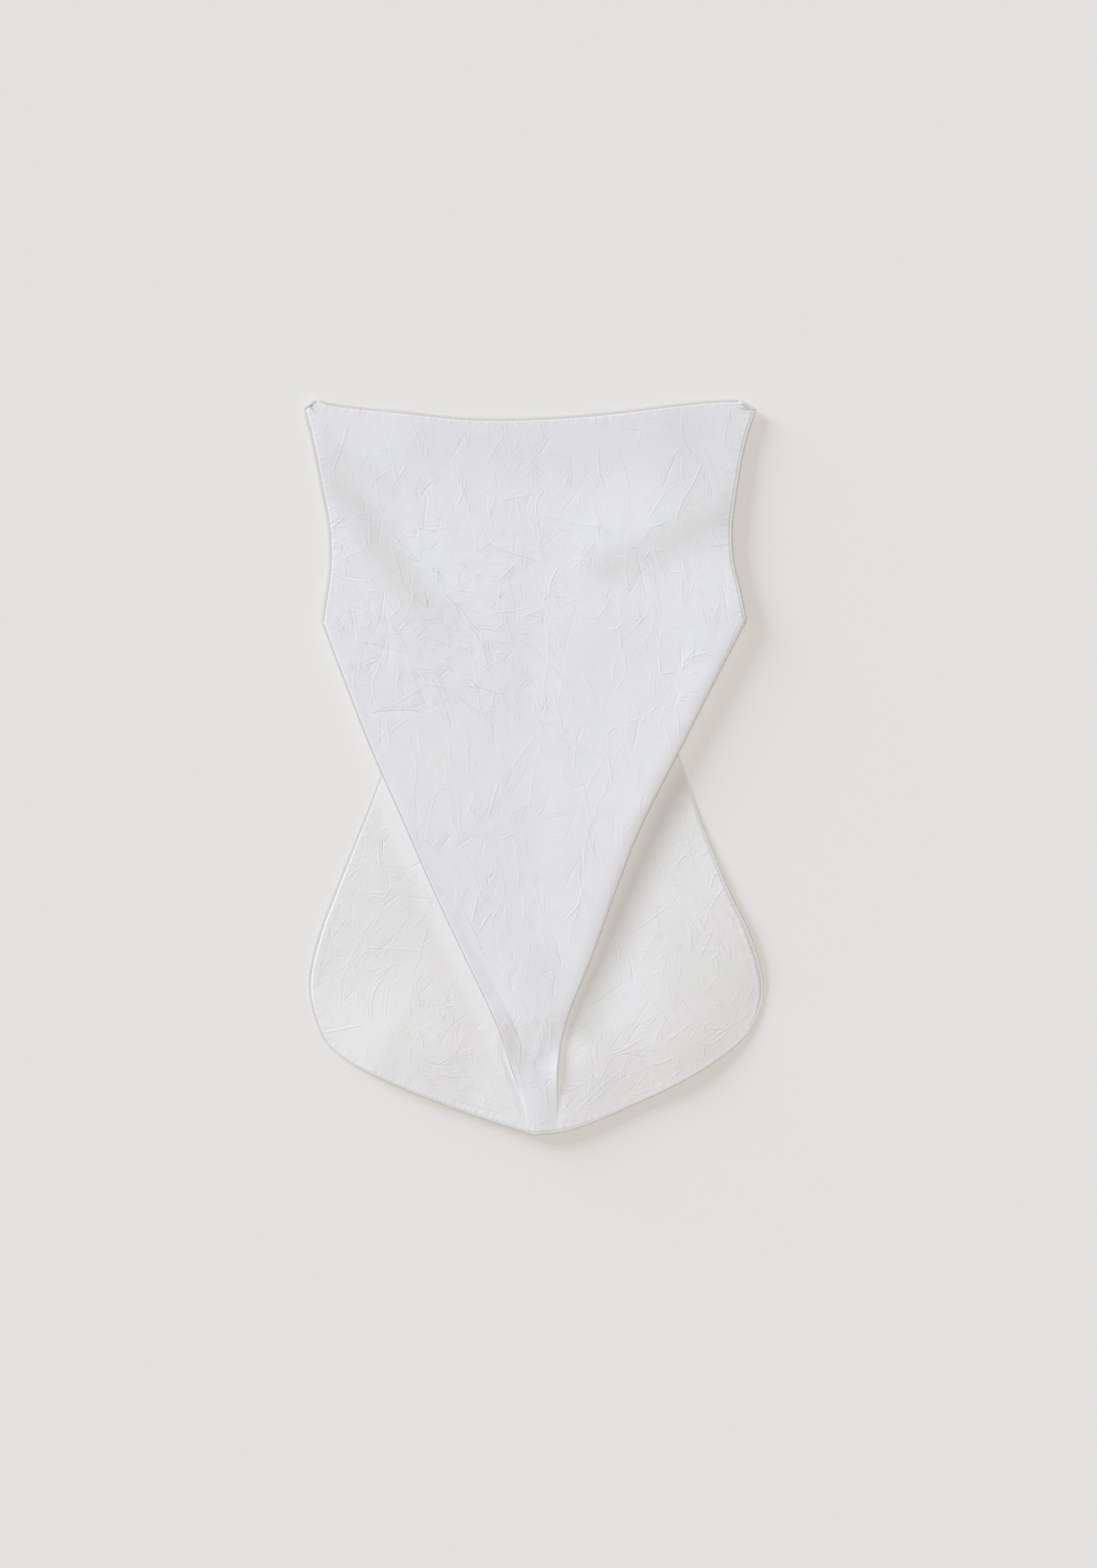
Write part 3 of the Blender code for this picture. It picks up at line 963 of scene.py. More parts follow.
    def front_patch(self) -> Patch:
        """Lays out the front, from the neckline to the hem.

        Returns:
            The patch.
        """
        right = self.front_edge(RIGHT_CUT, self.front_levels)[0]
        left = self.front_edge(LEFT_CUT, self.front_levels)[0]
        counts = [self.grid.columns_at(level) + 1 for level in self.front_levels]
        row = np.repeat(np.arange(len(counts)), counts)
        shares = np.concatenate([np.linspace(0, 1, count) for count in counts])
        x = -right[row] + (left[row] + right[row]) * shares
        level = self.front_levels[row]
        dip = self.top - np.interp(x, self.edges.neckline[:, 0], self.edges.neckline[:, 1])
        laid = level - dip * smoothstep((level - self.neck_dip_foot) / (self.top - self.neck_dip_foot))
        laid = np.where(x > 0, self.settled(LEFT_CUT, x, laid), self.settled(RIGHT_CUT, x, laid))
        places = np.column_stack([x, laid])
        points = np.column_stack([places, self.front_height(x, level, places)])
        ends = np.cumsum(counts)[:-1]
        return self.lifted(Patch(Panel.FRONT, np.split(points, ends), np.split(places, ends)))

    @staticmethod
    def laid_flat(cut: SideCut, panel: Panel, places: Points) -> Points:
        """Unfolds places of a wing or a tail onto the cut, over straight lines along the folds.

        Args:
            cut: the side.
            panel: which panel they are on.
            places: points of (across, level).

        Returns:
            Points of (across, level) on the flat cut.
        """
        if panel is Panel.TAIL:
            places = mirrored(places, np.array(BACK_EDGE_END), np.array([0.0, HIDDEN_FOLD_FOOT_LEVEL]))
        return mirrored(places, np.array(cut.side_fold[0], float), np.array(cut.side_fold[-3], float))

    def side_patches(self, cut: SideCut) -> list[Patch]:
        """Lays out one side's visible roll, back wing, hidden roll and tail.

        Args:
            cut: the side.

        Returns:
            The four patches, with x outward on the left.
        """
        visible, wing, hidden = (self.with_levels(cut, grid) for grid in self.section(cut, self.fold_levels))
        wing = np.concatenate([self.upper_wing(cut), wing])
        hidden = np.concatenate([self.hidden_turn(cut), hidden])
        tail = self.tail(cut, hidden[:, -1])
        wing_cut = self.laid_flat(cut, Panel.WING, wing[..., :2])
        tail_cut = self.laid_flat(cut, Panel.TAIL, tail[..., :2])
        roll_cut = self.between(visible[:, 0, :2], wing_cut[-len(visible):, 0], self.grid.visible_steps)
        turn_cut = self.between(wing_cut[-len(hidden):, -1], tail_cut[:, 0], self.grid.hidden_steps)
        signs = np.array([cut.sign, 1, 1])
        return [self.lifted(Patch(panel, list(grid * signs), list(cuts * signs[:2])))
                for panel, grid, cuts in ((Panel.ROLL, visible, roll_cut), (Panel.WING, wing, wing_cut),
                                          (Panel.ROLL, hidden, turn_cut), (Panel.TAIL, tail, tail_cut))]

    @staticmethod
    def between(first: Points, last: Points, steps: int) -> Points:
        """Fills columns between two columns of points, in so many steps."""
        shares = np.linspace(0, 1, steps + 1)[None, :, None]
        return first[:, None, :] * (1 - shares) + last[:, None, :] * shares

    def with_levels(self, cut: SideCut, grid: Points) -> Points:
        """Turns a fold's (across, height) into (across, level, height), its lowest rows on the hem."""
        levels = np.broadcast_to(self.fold_levels[:, None], grid.shape[:2])
        return np.stack([grid[..., 0], self.settled(cut, grid[..., 0], levels), grid[..., 1]], axis=2)

    def upper_wing(self, cut: SideCut) -> Points:
        """Lays out the back wing above the underarm's row.

        Args:
            cut: the side.

        Returns:
            Its points, row by row.
        """
        foot = self.edges.wing_foot(cut)
        above = np.linspace(self.edges.wing_top(cut), foot, self.grid.wing_rows + 1)[:-1]
        below = np.linspace(foot, self.edges.underarm, self.grid.turn_rows + 1)[:-1]
        levels = np.concatenate([above, below])
        outer = self.front_edge(cut, levels)[0]
        inner = np.where(levels > foot + self.same_level, self.edges.back_edge_across(cut, levels),
                         self.edges.hidden_roll_across(cut, levels))
        shares = np.linspace(0, 1, self.grid.wing_columns + 1)
        across = outer[:, None] + (inner - outer)[:, None] * shares
        height = REST_HEIGHT + 2 * cut.radii(self.edges.underarm)[1]
        ups = np.full_like(across, height)
        return np.stack([across, np.broadcast_to(levels[:, None], across.shape), ups], axis=2)

    def hidden_turn(self, cut: SideCut) -> Points:
        """Lays out the hidden roll above the underarm's row, from the slanting cut edge down.

        Args:
            cut: the side.

        Returns:
            Its points, row by row.
        """
        steps = self.grid.hidden_steps
        start = np.linspace(self.edges.wing_foot(cut), self.edges.tails[cut.side][0, 1], steps + 1)
        down = np.linspace(0, 1, self.grid.turn_rows + 1)[:-1, None]
        levels = start[None, :] * (1 - down) + self.edges.underarm * down
        rolls = self.section(cut, levels.ravel())[2].reshape(*levels.shape, steps + 1, 2)
        picked = np.stack([rolls[:, step, step] for step in range(steps + 1)], axis=1)
        return np.stack([picked[..., 0], levels, picked[..., 1]], axis=2)

    def tail(self, cut: SideCut, inner: Points) -> Points:
        """Lays out one tail between the hidden fold, the free back edge and the hem.

        Args:
            cut: the side.
            inner: the tail's inner column.

        Returns:
            Its points, row by row.
        """
        edge = self.edges.tails[cut.side]
        corner = int(np.argmin(np.linalg.norm(edge - np.array(cut.tail_corner), axis=1)))
        outer, bottom = edge[:corner + 1], edge[corner:][::-1]
        bottom = np.vstack([inner[-1, :2], bottom[bottom[:, 0] > inner[-1, 0] + 1]])
        down = shares_along(inner[:, :2])
        along = np.linspace(0, 1, self.grid.tail_columns + 1)
        outside, below = resampled(outer, down), resampled(bottom, along)
        v, u = down[:, None, None], along[None, :, None]
        first, last = inner[:, None, :2], outside[:, None, :]
        flat = v * below[None] + (1 - u) * first + u * last - v * ((1 - u) * inner[-1, :2] + u * outer[-1])
        flat[:, 0] = inner[:, :2]
        places = flat.reshape(-1, 2)
        height = self.tail_height(cut, places).reshape(flat.shape[:2])
        height[:, 0] = inner[:, 2]
        return np.dstack([flat, height])

    def tail_height(self, cut: SideCut, places: Points) -> Points:
        """Height of a tail, with its rise toward the side fold and its relief.

        Args:
            cut: the side.
            places: points of (across, level).

        Returns:
            The heights.
        """
        across, levels = places[:, 0], places[:, 1]
        past = across - across_at(self.crests[cut.side], levels)
        shape = np.where(past > 0, 1 - smoothstep(past / self.rise_outward),
                         smoothstep(1 + past / self.rise_inward))
        relief = self.relief.tail_at(cut.side, places * np.array([cut.sign, 1]))
        relief = np.logaddexp(0.0, self.relief_hardness * (relief + self.relief_floor)) / self.relief_hardness
        start, fade = self.open_start
        open_part = smoothstep((past - start) / fade)
        open_part = open_part * smoothstep((across - hidden_fold_across(levels)) / self.open_fold)
        open_part = open_part * smoothstep(past / self.open_reach + self.open_share)
        rise = read_table(cut.tail_rise, levels)
        return REST_HEIGHT + rise * shape + (relief + self.puff(cut, places)) * open_part

    def from_hem(self, places: Points) -> tuple[Points, Points]:
        """Measures places from the bottom hem, rounded off so that the fields stay smooth.

        Args:
            places: points of (x, level).

        Returns:
            Distances, and the across position of the nearest point of the hem.
        """
        gaps = np.zeros(len(places))
        across = np.zeros(len(places))
        for start in range(0, len(places), self.batch):
            part = slice(start, start + self.batch)
            away = np.linalg.norm(places[part, None, :] - self.hem_points[None], axis=2)
            weight = np.exp((away.min(axis=1, keepdims=True) - away) / self.rounding)
            weight /= weight.sum(axis=1, keepdims=True)
            gaps[part] = np.maximum(0, (weight * away).sum(axis=1) - self.rounding_share * self.rounding)
            across[part] = weight @ self.hem_points[:, 0]
        return gaps, across

    def lifted(self, patch: Patch) -> Patch:
        """Lifts all layers of the cloth a little near the hem, which is too stiff to lie down.

        Args:
            patch: the patch as it lies.

        Returns:
            The same patch, lifted.
        """
        counts = [len(row) for row in patch.rows]
        points = np.concatenate(patch.rows)
        near = points[:, 1] < self.lift_top
        gaps, across = self.from_hem(points[near, :2])
        start, fade = self.lift_sides
        ends = 1 - smoothstep((np.abs(across) - start) / fade)
        wave = np.ones(len(across))
        for height, length, phase in self.waves:
            wave = wave + height * np.sin(across / length + phase)
        wave = wave + self.tip_lift * np.exp(-(across / self.tip_width) ** 2)
        points[near, 2] += self.hem_lift * ends * wave * smoothstep(1 - gaps / self.lift_reach)
        patch.rows = np.split(points, np.cumsum(counts)[:-1])
        return patch

    def puff(self, cut: SideCut, places: Points) -> Points:
        """Height by which one tail bulges between its hem and the fold.

        Args:
            cut: the side.
            places: points of (across, level).

        Returns:
            The heights.
        """
        gaps, _ = self.from_hem(places * np.array([cut.sign, 1]))
        dome = 1 - (1 - np.minimum(gaps / self.dome_width, 1)) ** 2
        end, fade = self.dome_end
        return cut.tail_puff * dome * smoothstep((end - gaps) / fade)

    def patches(self) -> list[Patch]:
        """Every patch of the cloth."""
        return [self.front_patch(), *(patch for cut in CUTS for patch in self.side_patches(cut))]


def to_metres(rows: Points) -> Points:
    """Turns (x, level, height) in mm into points in metres in the model's frame."""
    return (rows - [0.0, LENGTH / 2, 0.0]) * MM


def new_piece(name: str, mesh: Mesh, material: Material) -> Object:
    """Links a mesh as a smooth shaded piece that rides on the garment.

    Args:
        name: the piece's name.
        mesh: its mesh, in place.
        material: its finish.

    Returns:
        The piece.
    """
    mesh.shade_smooth()
    mesh.materials.append(material)
    piece = bpy.data.objects.new(name, mesh)
    bpy.context.scene.collection.objects.link(piece)
    return piece


def vectors_of(items: bpy.types.bpy_prop_collection, name: str) -> Points:
    """Reads a vector of each item of a mesh.

    Args:
        items: the mesh's points, their normals or an attribute's values.
        name: the vector's name on them.

    Returns:
        One row for each item.
    """
    values = np.empty(len(items) * 3, np.float32)
    items.foreach_get(name, values)
    return values.reshape(-1, 3).astype(float)


def write_uv(mesh: Mesh, name: str, uvs: Points) -> None:
    """Gives a mesh a UV map.

    Args:
        mesh: the mesh.
        name: the map's name.
        uvs: a UV for each of its points.
    """
    loops = np.empty(len(mesh.loops), np.int32)
    mesh.loops.foreach_get("vertex_index", loops)
    layer = mesh.uv_layers.new(name=name)
    layer.uv.foreach_set("vector", uvs[loops].astype(np.float32).ravel())


def select_only(piece: Object) -> None:
    """Makes a piece the only selected and active one.

    Args:
        piece: the piece.
    """
    bpy.ops.object.select_all(action="DESELECT")
    piece.select_set(True)
    bpy.context.view_layer.objects.active = piece


@dataclass
class HemLine:
    """A cut edge's line for its hem, in metres, with the direction into the cloth at each point.

    The up share says where along the line the hem's upper face looks away from the surface.
    """

    centre: Points
    inward: Points
    up_share: float
    shortest_step: float = 1e-7
    fewest: int = 8

    def __post_init__(self) -> None:
        """Evens the points out along the line."""
        steps = np.linalg.norm(np.diff(self.centre, axis=0), axis=1)
        run = np.concatenate([[0.0], np.cumsum(steps)])
        keep = np.concatenate([[True], steps > self.shortest_step])
        count = max(self.fewest, int(run[-1] / (STITCH_PITCH * MM / 2)))
        places = np.linspace(0, run[-1], count + 1)
        self.run = places
        self.centre = np.column_stack([np.interp(places, run[keep], self.centre[keep, k]) for k in range(3)])
        self.inward = np.column_stack([np.interp(places, run[keep], self.inward[keep, k]) for k in range(3)])
        self.along = np.gradient(self.centre, axis=0)
        self.along /= np.linalg.norm(self.along, axis=1)[:, None]
        self.inward -= (self.inward * self.along).sum(axis=1)[:, None] * self.along
        self.inward /= np.linalg.norm(self.inward, axis=1)[:, None]
        self.up = np.cross(self.along, self.inward)
        if self.up[int(self.up_share * count), 2] < 0:
            self.up = -self.up


@dataclass
class HemLines:
    """The lines of the four hems, read from the folded cloth's own grid."""

    relief: Relief
    grid: GridSizes
    inward_step: float = 1.5
    seam_gap: float = 2.1

    def build(self) -> dict[str, HemLine]:
        """Reads the lines.

        Returns:
            The hems' lines by node name.
        """
        centre = FoldedCloth(HEM_HALF_WIDTH, self.relief, self.grid)
        inner = FoldedCloth(HEM_HALF_WIDTH + self.inward_step, self.relief, self.grid)
        outlines = [self.outlines(cloth) for cloth in (centre, inner)]
        lines = {}
        for name, share in HEM_UP_SHARES.items():
            first, second = outlines[0][name], outlines[1][name]
            clear = self.clear_of_seams(first, centre.edges)
            first, second = first[clear], second[clear]
            lines[name] = HemLine(to_metres(first), (second - first) * MM, share)
        return lines

    def outlines(self, cloth: FoldedCloth) -> dict[str, Points]:
        """Collects the cut edges of a folded cloth.

        Args:
            cloth: the cloth.

        Returns:
            Points of (x, level, height) by node name.
        """
        front = cloth.front_patch().rows
        found = {"neck_hem": front[0]}
        ends = {}
        for cut, column in ((RIGHT_CUT, 0), (LEFT_CUT, -1)):
            visible, wing, hidden, tail = (np.array(patch.rows) for patch in cloth.side_patches(cut))
            down = np.array([row[column] for row in front[:self.grid.top_rows]])
            up = wing[:len(wing) - len(visible), 0][::-1]
            found["armhole_hem_" + cut.side.name.lower()] = np.vstack([down, visible[0], up])
            edge = wing[:len(wing) - len(hidden), -1]
            ends[cut.side] = np.vstack([edge, hidden[0], tail[1:, -1], tail[-1, -2::-1]])
        found["outer_hem"] = np.vstack([ends[Side.RIGHT], front[-1][1:-1], ends[Side.LEFT][::-1]])
        return found

    def clear_of_seams(self, points: Points, edges: CutEdges) -> Points:
        """Picks the points of a hem that keep clear of the shoulder seams.

        Args:
            points: the hem's points.
            edges: the edges that hold the seams.

        Returns:
            True for each point to keep.
        """
        clear = np.ones(len(points), bool)
        for cut in CUTS:
            start, _, inward = edges.seam(cut)
            flat = points[:, :2] * [cut.sign, 1]
            clear &= (flat - start) @ inward > self.seam_gap
        return clear


@dataclass
class ClothPiece:
    """The whole cloth as one closed shell on the folded shape.

    Lengths are in mm. Light and shade are painted on the folds' steep flanks: a flank that faces the
    light is painted greyer by the fold shade, a painted shade that tones the light down, and a flank in
    shadow is painted paler by a share of it, a painted light that stands in for light through thin cloth.
    """

    relief: Relief
    grid: GridSizes
    hems: dict[str, HemLine]
    name: str = "crinkled_cloth"
    merge_distance: float = 0.004
    no_crease: tuple[float, float, float] = (9.0, 0.0, 0.0)
    side_clear: float = 3.0
    hidden_clear: float = 2.0
    hidden_top: float = 110.0
    hem_reach: float = 11.0
    hem_depth: float = 2.0
    hem_offset: float = 3000.0
    hem_batch: int = 24
    # painted shade on the folds' flanks that face the light
    painted_fold_shade: float = 0.34
    steep: float = 0.35
    turn_to_light: float = 4.0
    # share of it painted as light on the flanks in shadow
    painted_light_share: float = 0.6

    def build(self, material: Material) -> Object:
        """Makes the piece.

        Args:
            material: its finish.

        Returns:
            The piece.
        """
        shape = FoldedCloth(HEM_HALF_WIDTH, self.relief, self.grid)
        mesh = self.middle_surface(shape.patches())
        self.map_cut(mesh)
        self.mark_creases(mesh)
        self.mark_hems(mesh)
        self.mark_painted_shade(mesh)
        piece = new_piece(self.name, mesh, material)
        self.thicken(piece)
        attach(piece, ROOT)
        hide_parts("body")
        return piece

    def middle_surface(self, patches: list[Patch]) -> Mesh:
        """Joins the patches at their shared borders.

        Args:
            patches: the cloth's patches.

        Returns:
            The mesh, with each point's place on the flat cut and its panel.
        """
        work = bmesh.new()
        flat = work.verts.layers.float_vector.new("flat")
        for patch in patches:
            grid = []
            for row, cuts in zip(patch.rows, patch.cuts):
                line = []
                for point, cut in zip(to_metres(row), cuts):
                    vert = work.verts.new(point)
                    vert[flat] = (cut[0], cut[1], patch.panel.value)
                    line.append(vert)
                grid.append(line)
            for upper, lower in zip(grid, grid[1:]):
                self.fill(work, upper, lower)
        bmesh.ops.remove_doubles(work, verts=work.verts, dist=self.merge_distance * MM)
        bmesh.ops.recalc_face_normals(work, faces=work.faces)
        work.faces.ensure_lookup_table()
        if work.faces[0].normal.z < 0:
            bmesh.ops.reverse_faces(work, faces=work.faces)
        mesh = bpy.data.meshes.new(self.name)
        work.to_mesh(mesh)
        work.free()
        return mesh

    @staticmethod
    def fill(work: bmesh.types.BMesh, upper: list, lower: list) -> None:
        """Fills faces between two rows, the lower of which may have half the columns.

        Args:
            work: the mesh.
            upper: the upper row's points.
            lower: the lower row's points.
        """
        ratio = (len(upper) - 1) // (len(lower) - 1)
        for column in range(len(lower) - 1):
            above = upper[column * ratio:(column + 1) * ratio + 1]
            work.faces.new([above[0], lower[column], lower[column + 1], *above[:0:-1]])

    @staticmethod
    def write(mesh: Mesh, name: str, values: Points) -> None:
        """Writes a vector attribute to a mesh's points."""
        attribute = mesh.attributes.new(name, "FLOAT_VECTOR", "POINT")
        attribute.data.foreach_set("vector", values.astype(np.float32).ravel())

    @staticmethod
    def places(mesh: Mesh) -> tuple[Points, Points]:
        """Reads where a mesh's points are and what they are part of.

        Args:
            mesh: the cloth's mesh.

        Returns:
            Each point's (x, level) in mm, and its panel's number.
        """
        points = vectors_of(mesh.vertices, "co") / MM
        panels = vectors_of(mesh.attributes["flat"].data, "vector")[:, 2]
        return np.column_stack([points[:, 0], points[:, 1] + LENGTH / 2]), panels

    @staticmethod
    def map_cut(mesh: Mesh) -> None:
        """Gives the mesh a UV map that is the cut laid flat, in metres."""
        flat = vectors_of(mesh.attributes["flat"].data, "vector")[:, :2] * MM
        write_uv(mesh, "cut", flat + [CUT_MIDDLE, 0.0])

    def mark_creases(self, mesh: Mesh) -> None:
        """Writes the distance and strength of the sharp creases, one attribute for each layer.

        Args:
            mesh: the cloth's mesh.
        """
        places, panels = self.places(mesh)
        groups = [(panels == Panel.FRONT.value, self.relief.front)]
        for cut in CUTS:
            beside = places[:, 0] * cut.sign > 0
            groups.append((beside & (panels == Panel.TAIL.value), self.relief.tails[cut.side]))
            groups.append((beside & (panels == Panel.WING.value), self.relief.wings[cut.side]))
        layers = [np.tile(self.no_crease, (len(places), 1)) for _ in self.relief.front.layers]
        for chosen, creases in groups:
            clear = self.clear_of_folds(places[chosen])
            for values, found in zip(layers, creases.channels(places[chosen])):
                found[:, 1] *= clear
                values[chosen] = found
        for index, values in enumerate(layers):
            self.write(mesh, f"crease_{index}", values)

    def clear_of_folds(self, places: Points) -> Points:
        """Gives 0 on a fold's line and 1 a little away from it, so that no crease breaks off there.

        Args:
            places: points of (x, level).

        Returns:
            The shares.
        """
        share = np.ones(len(places))
        for cut in CUTS:
            across, levels = places[:, 0] * cut.sign, places[:, 1]
            aside = np.abs(across_at(curve_through(cut.side_fold), levels) - across)
            share *= smoothstep(aside / self.side_clear)
            aside = np.abs(hidden_fold_across(levels) - across)
            share *= smoothstep(aside / self.hidden_clear + (levels > self.hidden_top))
        return share

    def mark_painted_shade(self, mesh: Mesh) -> None:
        """Writes each point's painted shade, negative where light is painted, and 1 for the tails, which look
        warmer.

        Args:
            mesh: the cloth's mesh.
        """
        places, panels = self.places(mesh)
        normals = vectors_of(mesh.vertex_normals, "vector")
        # Painted shade and light on the folds: greyer where a steep flank faces the key light, paler where it
        # is in shadow.
        lit = smoothstep(0.5 - self.turn_to_light * normals[:, 0])
        flank = smoothstep((1 - np.abs(normals[:, 2])) / self.steep)
        values = np.zeros((len(places), 3))
        values[:, 0] = self.painted_fold_shade * flank * ((1 + self.painted_light_share) * lit - self.painted_light_share)
        front = np.flatnonzero(panels == Panel.FRONT.value)
        tails = np.flatnonzero(panels == Panel.TAIL.value)
        # Painted shade marks on the front and the tails: bands of painted shade and shadow, and a negative
        # one as a painted highlight.
        for chosen, shade_marks in ((front, FRONT_PAINTED_SHADES), (tails, TAIL_PAINTED_SHADES)):
            for shade_mark in shade_marks:
                values[chosen, 0] += shade_mark.at(places[chosen])
        values[tails, 1] = 1.0
        self.write(mesh, "tone", values)

    def mark_hems(self, mesh: Mesh) -> None:
        """Writes each point's place along the nearest hem and its distance from it, in mm.

        Args:
            mesh: the cloth's mesh.
        """
        values = np.tile([0.0, self.hem_reach, 0.0], (len(mesh.vertices), 1))
        points = vectors_of(mesh.vertices, "co")
        reach = self.hem_reach * MM
        offset = 0.0
        for line in self.hems.values():
            for start in range(0, len(line.centre) - 1, self.hem_batch):
                part = slice(start, start + self.hem_batch + 2)
                centre, run = line.centre[part], line.run[part]
                low, high = centre.min(axis=0) - reach, centre.max(axis=0) + reach
                index = np.flatnonzero(((points > low) & (points < high)).all(axis=1))
                if not len(index):
                    continue
                gaps = np.linalg.norm(points[index][:, None] - centre[None], axis=2)
                nearest = gaps.argmin(axis=1)
                away = points[index] - centre[nearest]
                aside = np.abs((away * line.inward[part][nearest]).sum(axis=1)) / MM
                forward = (away * line.along[part][nearest]).sum(axis=1)
                level_with = np.abs(away[:, 2]) < self.hem_depth * MM
                closer = (gaps.min(axis=1) / MM < values[index, 1]) & level_with
                values[index[closer], 0] = (run[nearest] + forward)[closer] / MM + offset
                values[index[closer], 1] = aside[closer]
            offset += self.hem_offset
        self.write(mesh, "hem_place", values)

    @staticmethod
    def thicken(piece: Object) -> None:
        """Turns the middle surface into a closed wall.

        Args:
            piece: the cloth, still a single surface.
        """
        select_only(piece)
        wall = piece.modifiers.new("wall", "SOLIDIFY")
        wall.thickness = WALL * MM
        wall.offset = 0.0
        bpy.ops.object.modifier_apply(modifier=wall.name)


@dataclass
class RolledHem:
    """One narrow hem: the cloth's edge turned twice and stitched down.

    The section is given as shares of half its width and half its height. The stitch's path holds
    the way inward, the rise and the thread's half width, in mm.
    """

    node: str
    line: HemLine
    half_height: float = 0.3
    pucker: float = 0.12
    gather: float = 0.03
    uneven: float = 0.04
    lowest: float = 0.05
    seed: int = 7
    shift: float = 0.08
    slant: Pair = (0.22, 0.05)
    flatness: float = 1.5
    thread_turn: float = 0.2
    top: Table = ((1, 0), (0.985, 0.6), (0.94, 0.88), (0.86, 0.98), (0.6, 1), (0, 1), (-0.6, 1),
                  (-0.86, 0.98), (-0.94, 0.88), (-0.985, 0.6), (-1, 0))
    stitch_path: Table = ((-1.10, 0.00, 0.08), (-0.98, 0.26, 0.13), (-0.45, 0.36, 0.14), (0.15, 0.31, 0.06))

    def build(self, cloth: Material, thread: Material) -> list[Object]:
        """Makes the hem and its row of stitches.

        Args:
            cloth: the hem's finish.
            thread: the stitches' finish.

        Returns:
            Both pieces.
        """
        hem = new_piece(self.node + "_turned", self.turned(), cloth)
        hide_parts(self.node)
        stitches = new_piece(self.node + "_stitches", self.stitches(), thread)
        for piece in (hem, stitches):
            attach(piece, ROOT)
        return [hem, stitches]

    def turned(self) -> Mesh:
        """Sweeps the hem's flat, round-cornered section along its line, drawn in a little at each stitch.

        Returns:
            The mesh.
        """
        line = self.line
        phase = np.cos(2 * math.pi * line.run / (STITCH_PITCH * MM))
        drift = np.random.default_rng(len(self.node)).normal(0, self.uneven, len(line.run))
        wide = HEM_HALF_WIDTH * MM * (1 + self.gather * phase + drift * 0.5)
        high = self.half_height * MM * (1 - self.pucker * phase + drift)
        flat, thick = self.section().T
        rings = (line.centre[:, None] + line.inward[:, None] * (wide[:, None] * flat)[..., None]
                 + line.up[:, None] * (high[:, None] * thick)[..., None])
        rings[..., 2] = np.maximum(rings[..., 2], self.lowest * MM)
        faces = tube_faces(0, len(rings), len(flat))
        return closed_mesh(self.node + "_turned", rings.reshape(-1, 3), faces, self.hem_uv(len(rings)))

    def section(self) -> Points:
        """The section's corners, as shares of half its width and half its height."""
        top = np.array(self.top, float)
        return np.vstack([top, top[-2:0:-1] * [1, -1]])

    def hem_uv(self, rings: int) -> Points:
        """Gives each point a UV: metres along the hem, and 0 to 1 from its inner to its outer edge."""
        outward = (1 - self.section()[:, 0]) / 2
        return np.column_stack([np.repeat(self.line.run[:rings], len(outward)), np.tile(outward, rings)])

    def stitches(self) -> Mesh:
        """Lays the overcast stitches that wrap the hem's outer edge.

        Returns:
            The joined mesh.
        """
        rng = np.random.default_rng(self.seed + len(self.node))
        line = self.line
        points, faces, uvs = [], [], []
        for start in np.arange(STITCH_PITCH, line.run[-1] / MM - STITCH_PITCH, STITCH_PITCH):
            spot = (start + rng.normal(0, self.shift)) * MM
            centre, inward, up, along = (
                np.array([np.interp(spot, line.run, values[:, k]) for k in range(3)])
                for values in (line.centre, line.inward, line.up, line.along))
            slant = rng.normal(*self.slant) * MM
            faces += tube_faces(len(points), len(self.stitch_path), 4)
            for across, rise, size in self.stitch_path:
                middle = centre + inward * across * MM + up * rise * MM + along * slant * across
                for corner in range(4):
                    angle = math.pi / 2 * corner + math.pi / 4
                    aside = along * math.cos(angle) * self.flatness + up * math.sin(angle)
                    points.append(middle + aside * size * MM)
                    uvs.append((across * MM, corner * self.thread_turn * MM))
        return closed_mesh(self.node + "_stitches", np.array(points), faces, np.array(uvs))


def tube_faces(first: int, rings: int, sides: int) -> list[tuple[int, ...]]:
    """Joins rings of points to a tube with closed ends.

    Args:
        first: number of the first ring's first point.
        rings: how many rings there are.
        sides: how many points a ring has.

    Returns:
        The faces.
    """
    faces = []
    for start in range(first, first + (rings - 1) * sides, sides):
        for side in range(sides):
            after = (side + 1) % sides
            faces.append((start + side, start + after, start + sides + after, start + sides + side))
    last = first + (rings - 1) * sides
    return [*faces, tuple(range(first, first + sides))[::-1], tuple(range(last, last + sides))]


def closed_mesh(name: str, points: Points, faces: list[tuple[int, ...]], uvs: Points) -> Mesh:
    """Makes a mesh whose faces point outward.

    Args:
        name: the mesh's name.
        points: its points in metres.
        faces: its faces.
        uvs: a UV for each point.

    Returns:
        The mesh.
    """
    mesh = bpy.data.meshes.new(name)
    mesh.from_pydata(points.tolist(), [], faces)
    work = bmesh.new()
    work.from_mesh(mesh)
    bmesh.ops.recalc_face_normals(work, faces=work.faces)
    work.to_mesh(mesh)
    work.free()
    write_uv(mesh, "run", uvs)
    return mesh


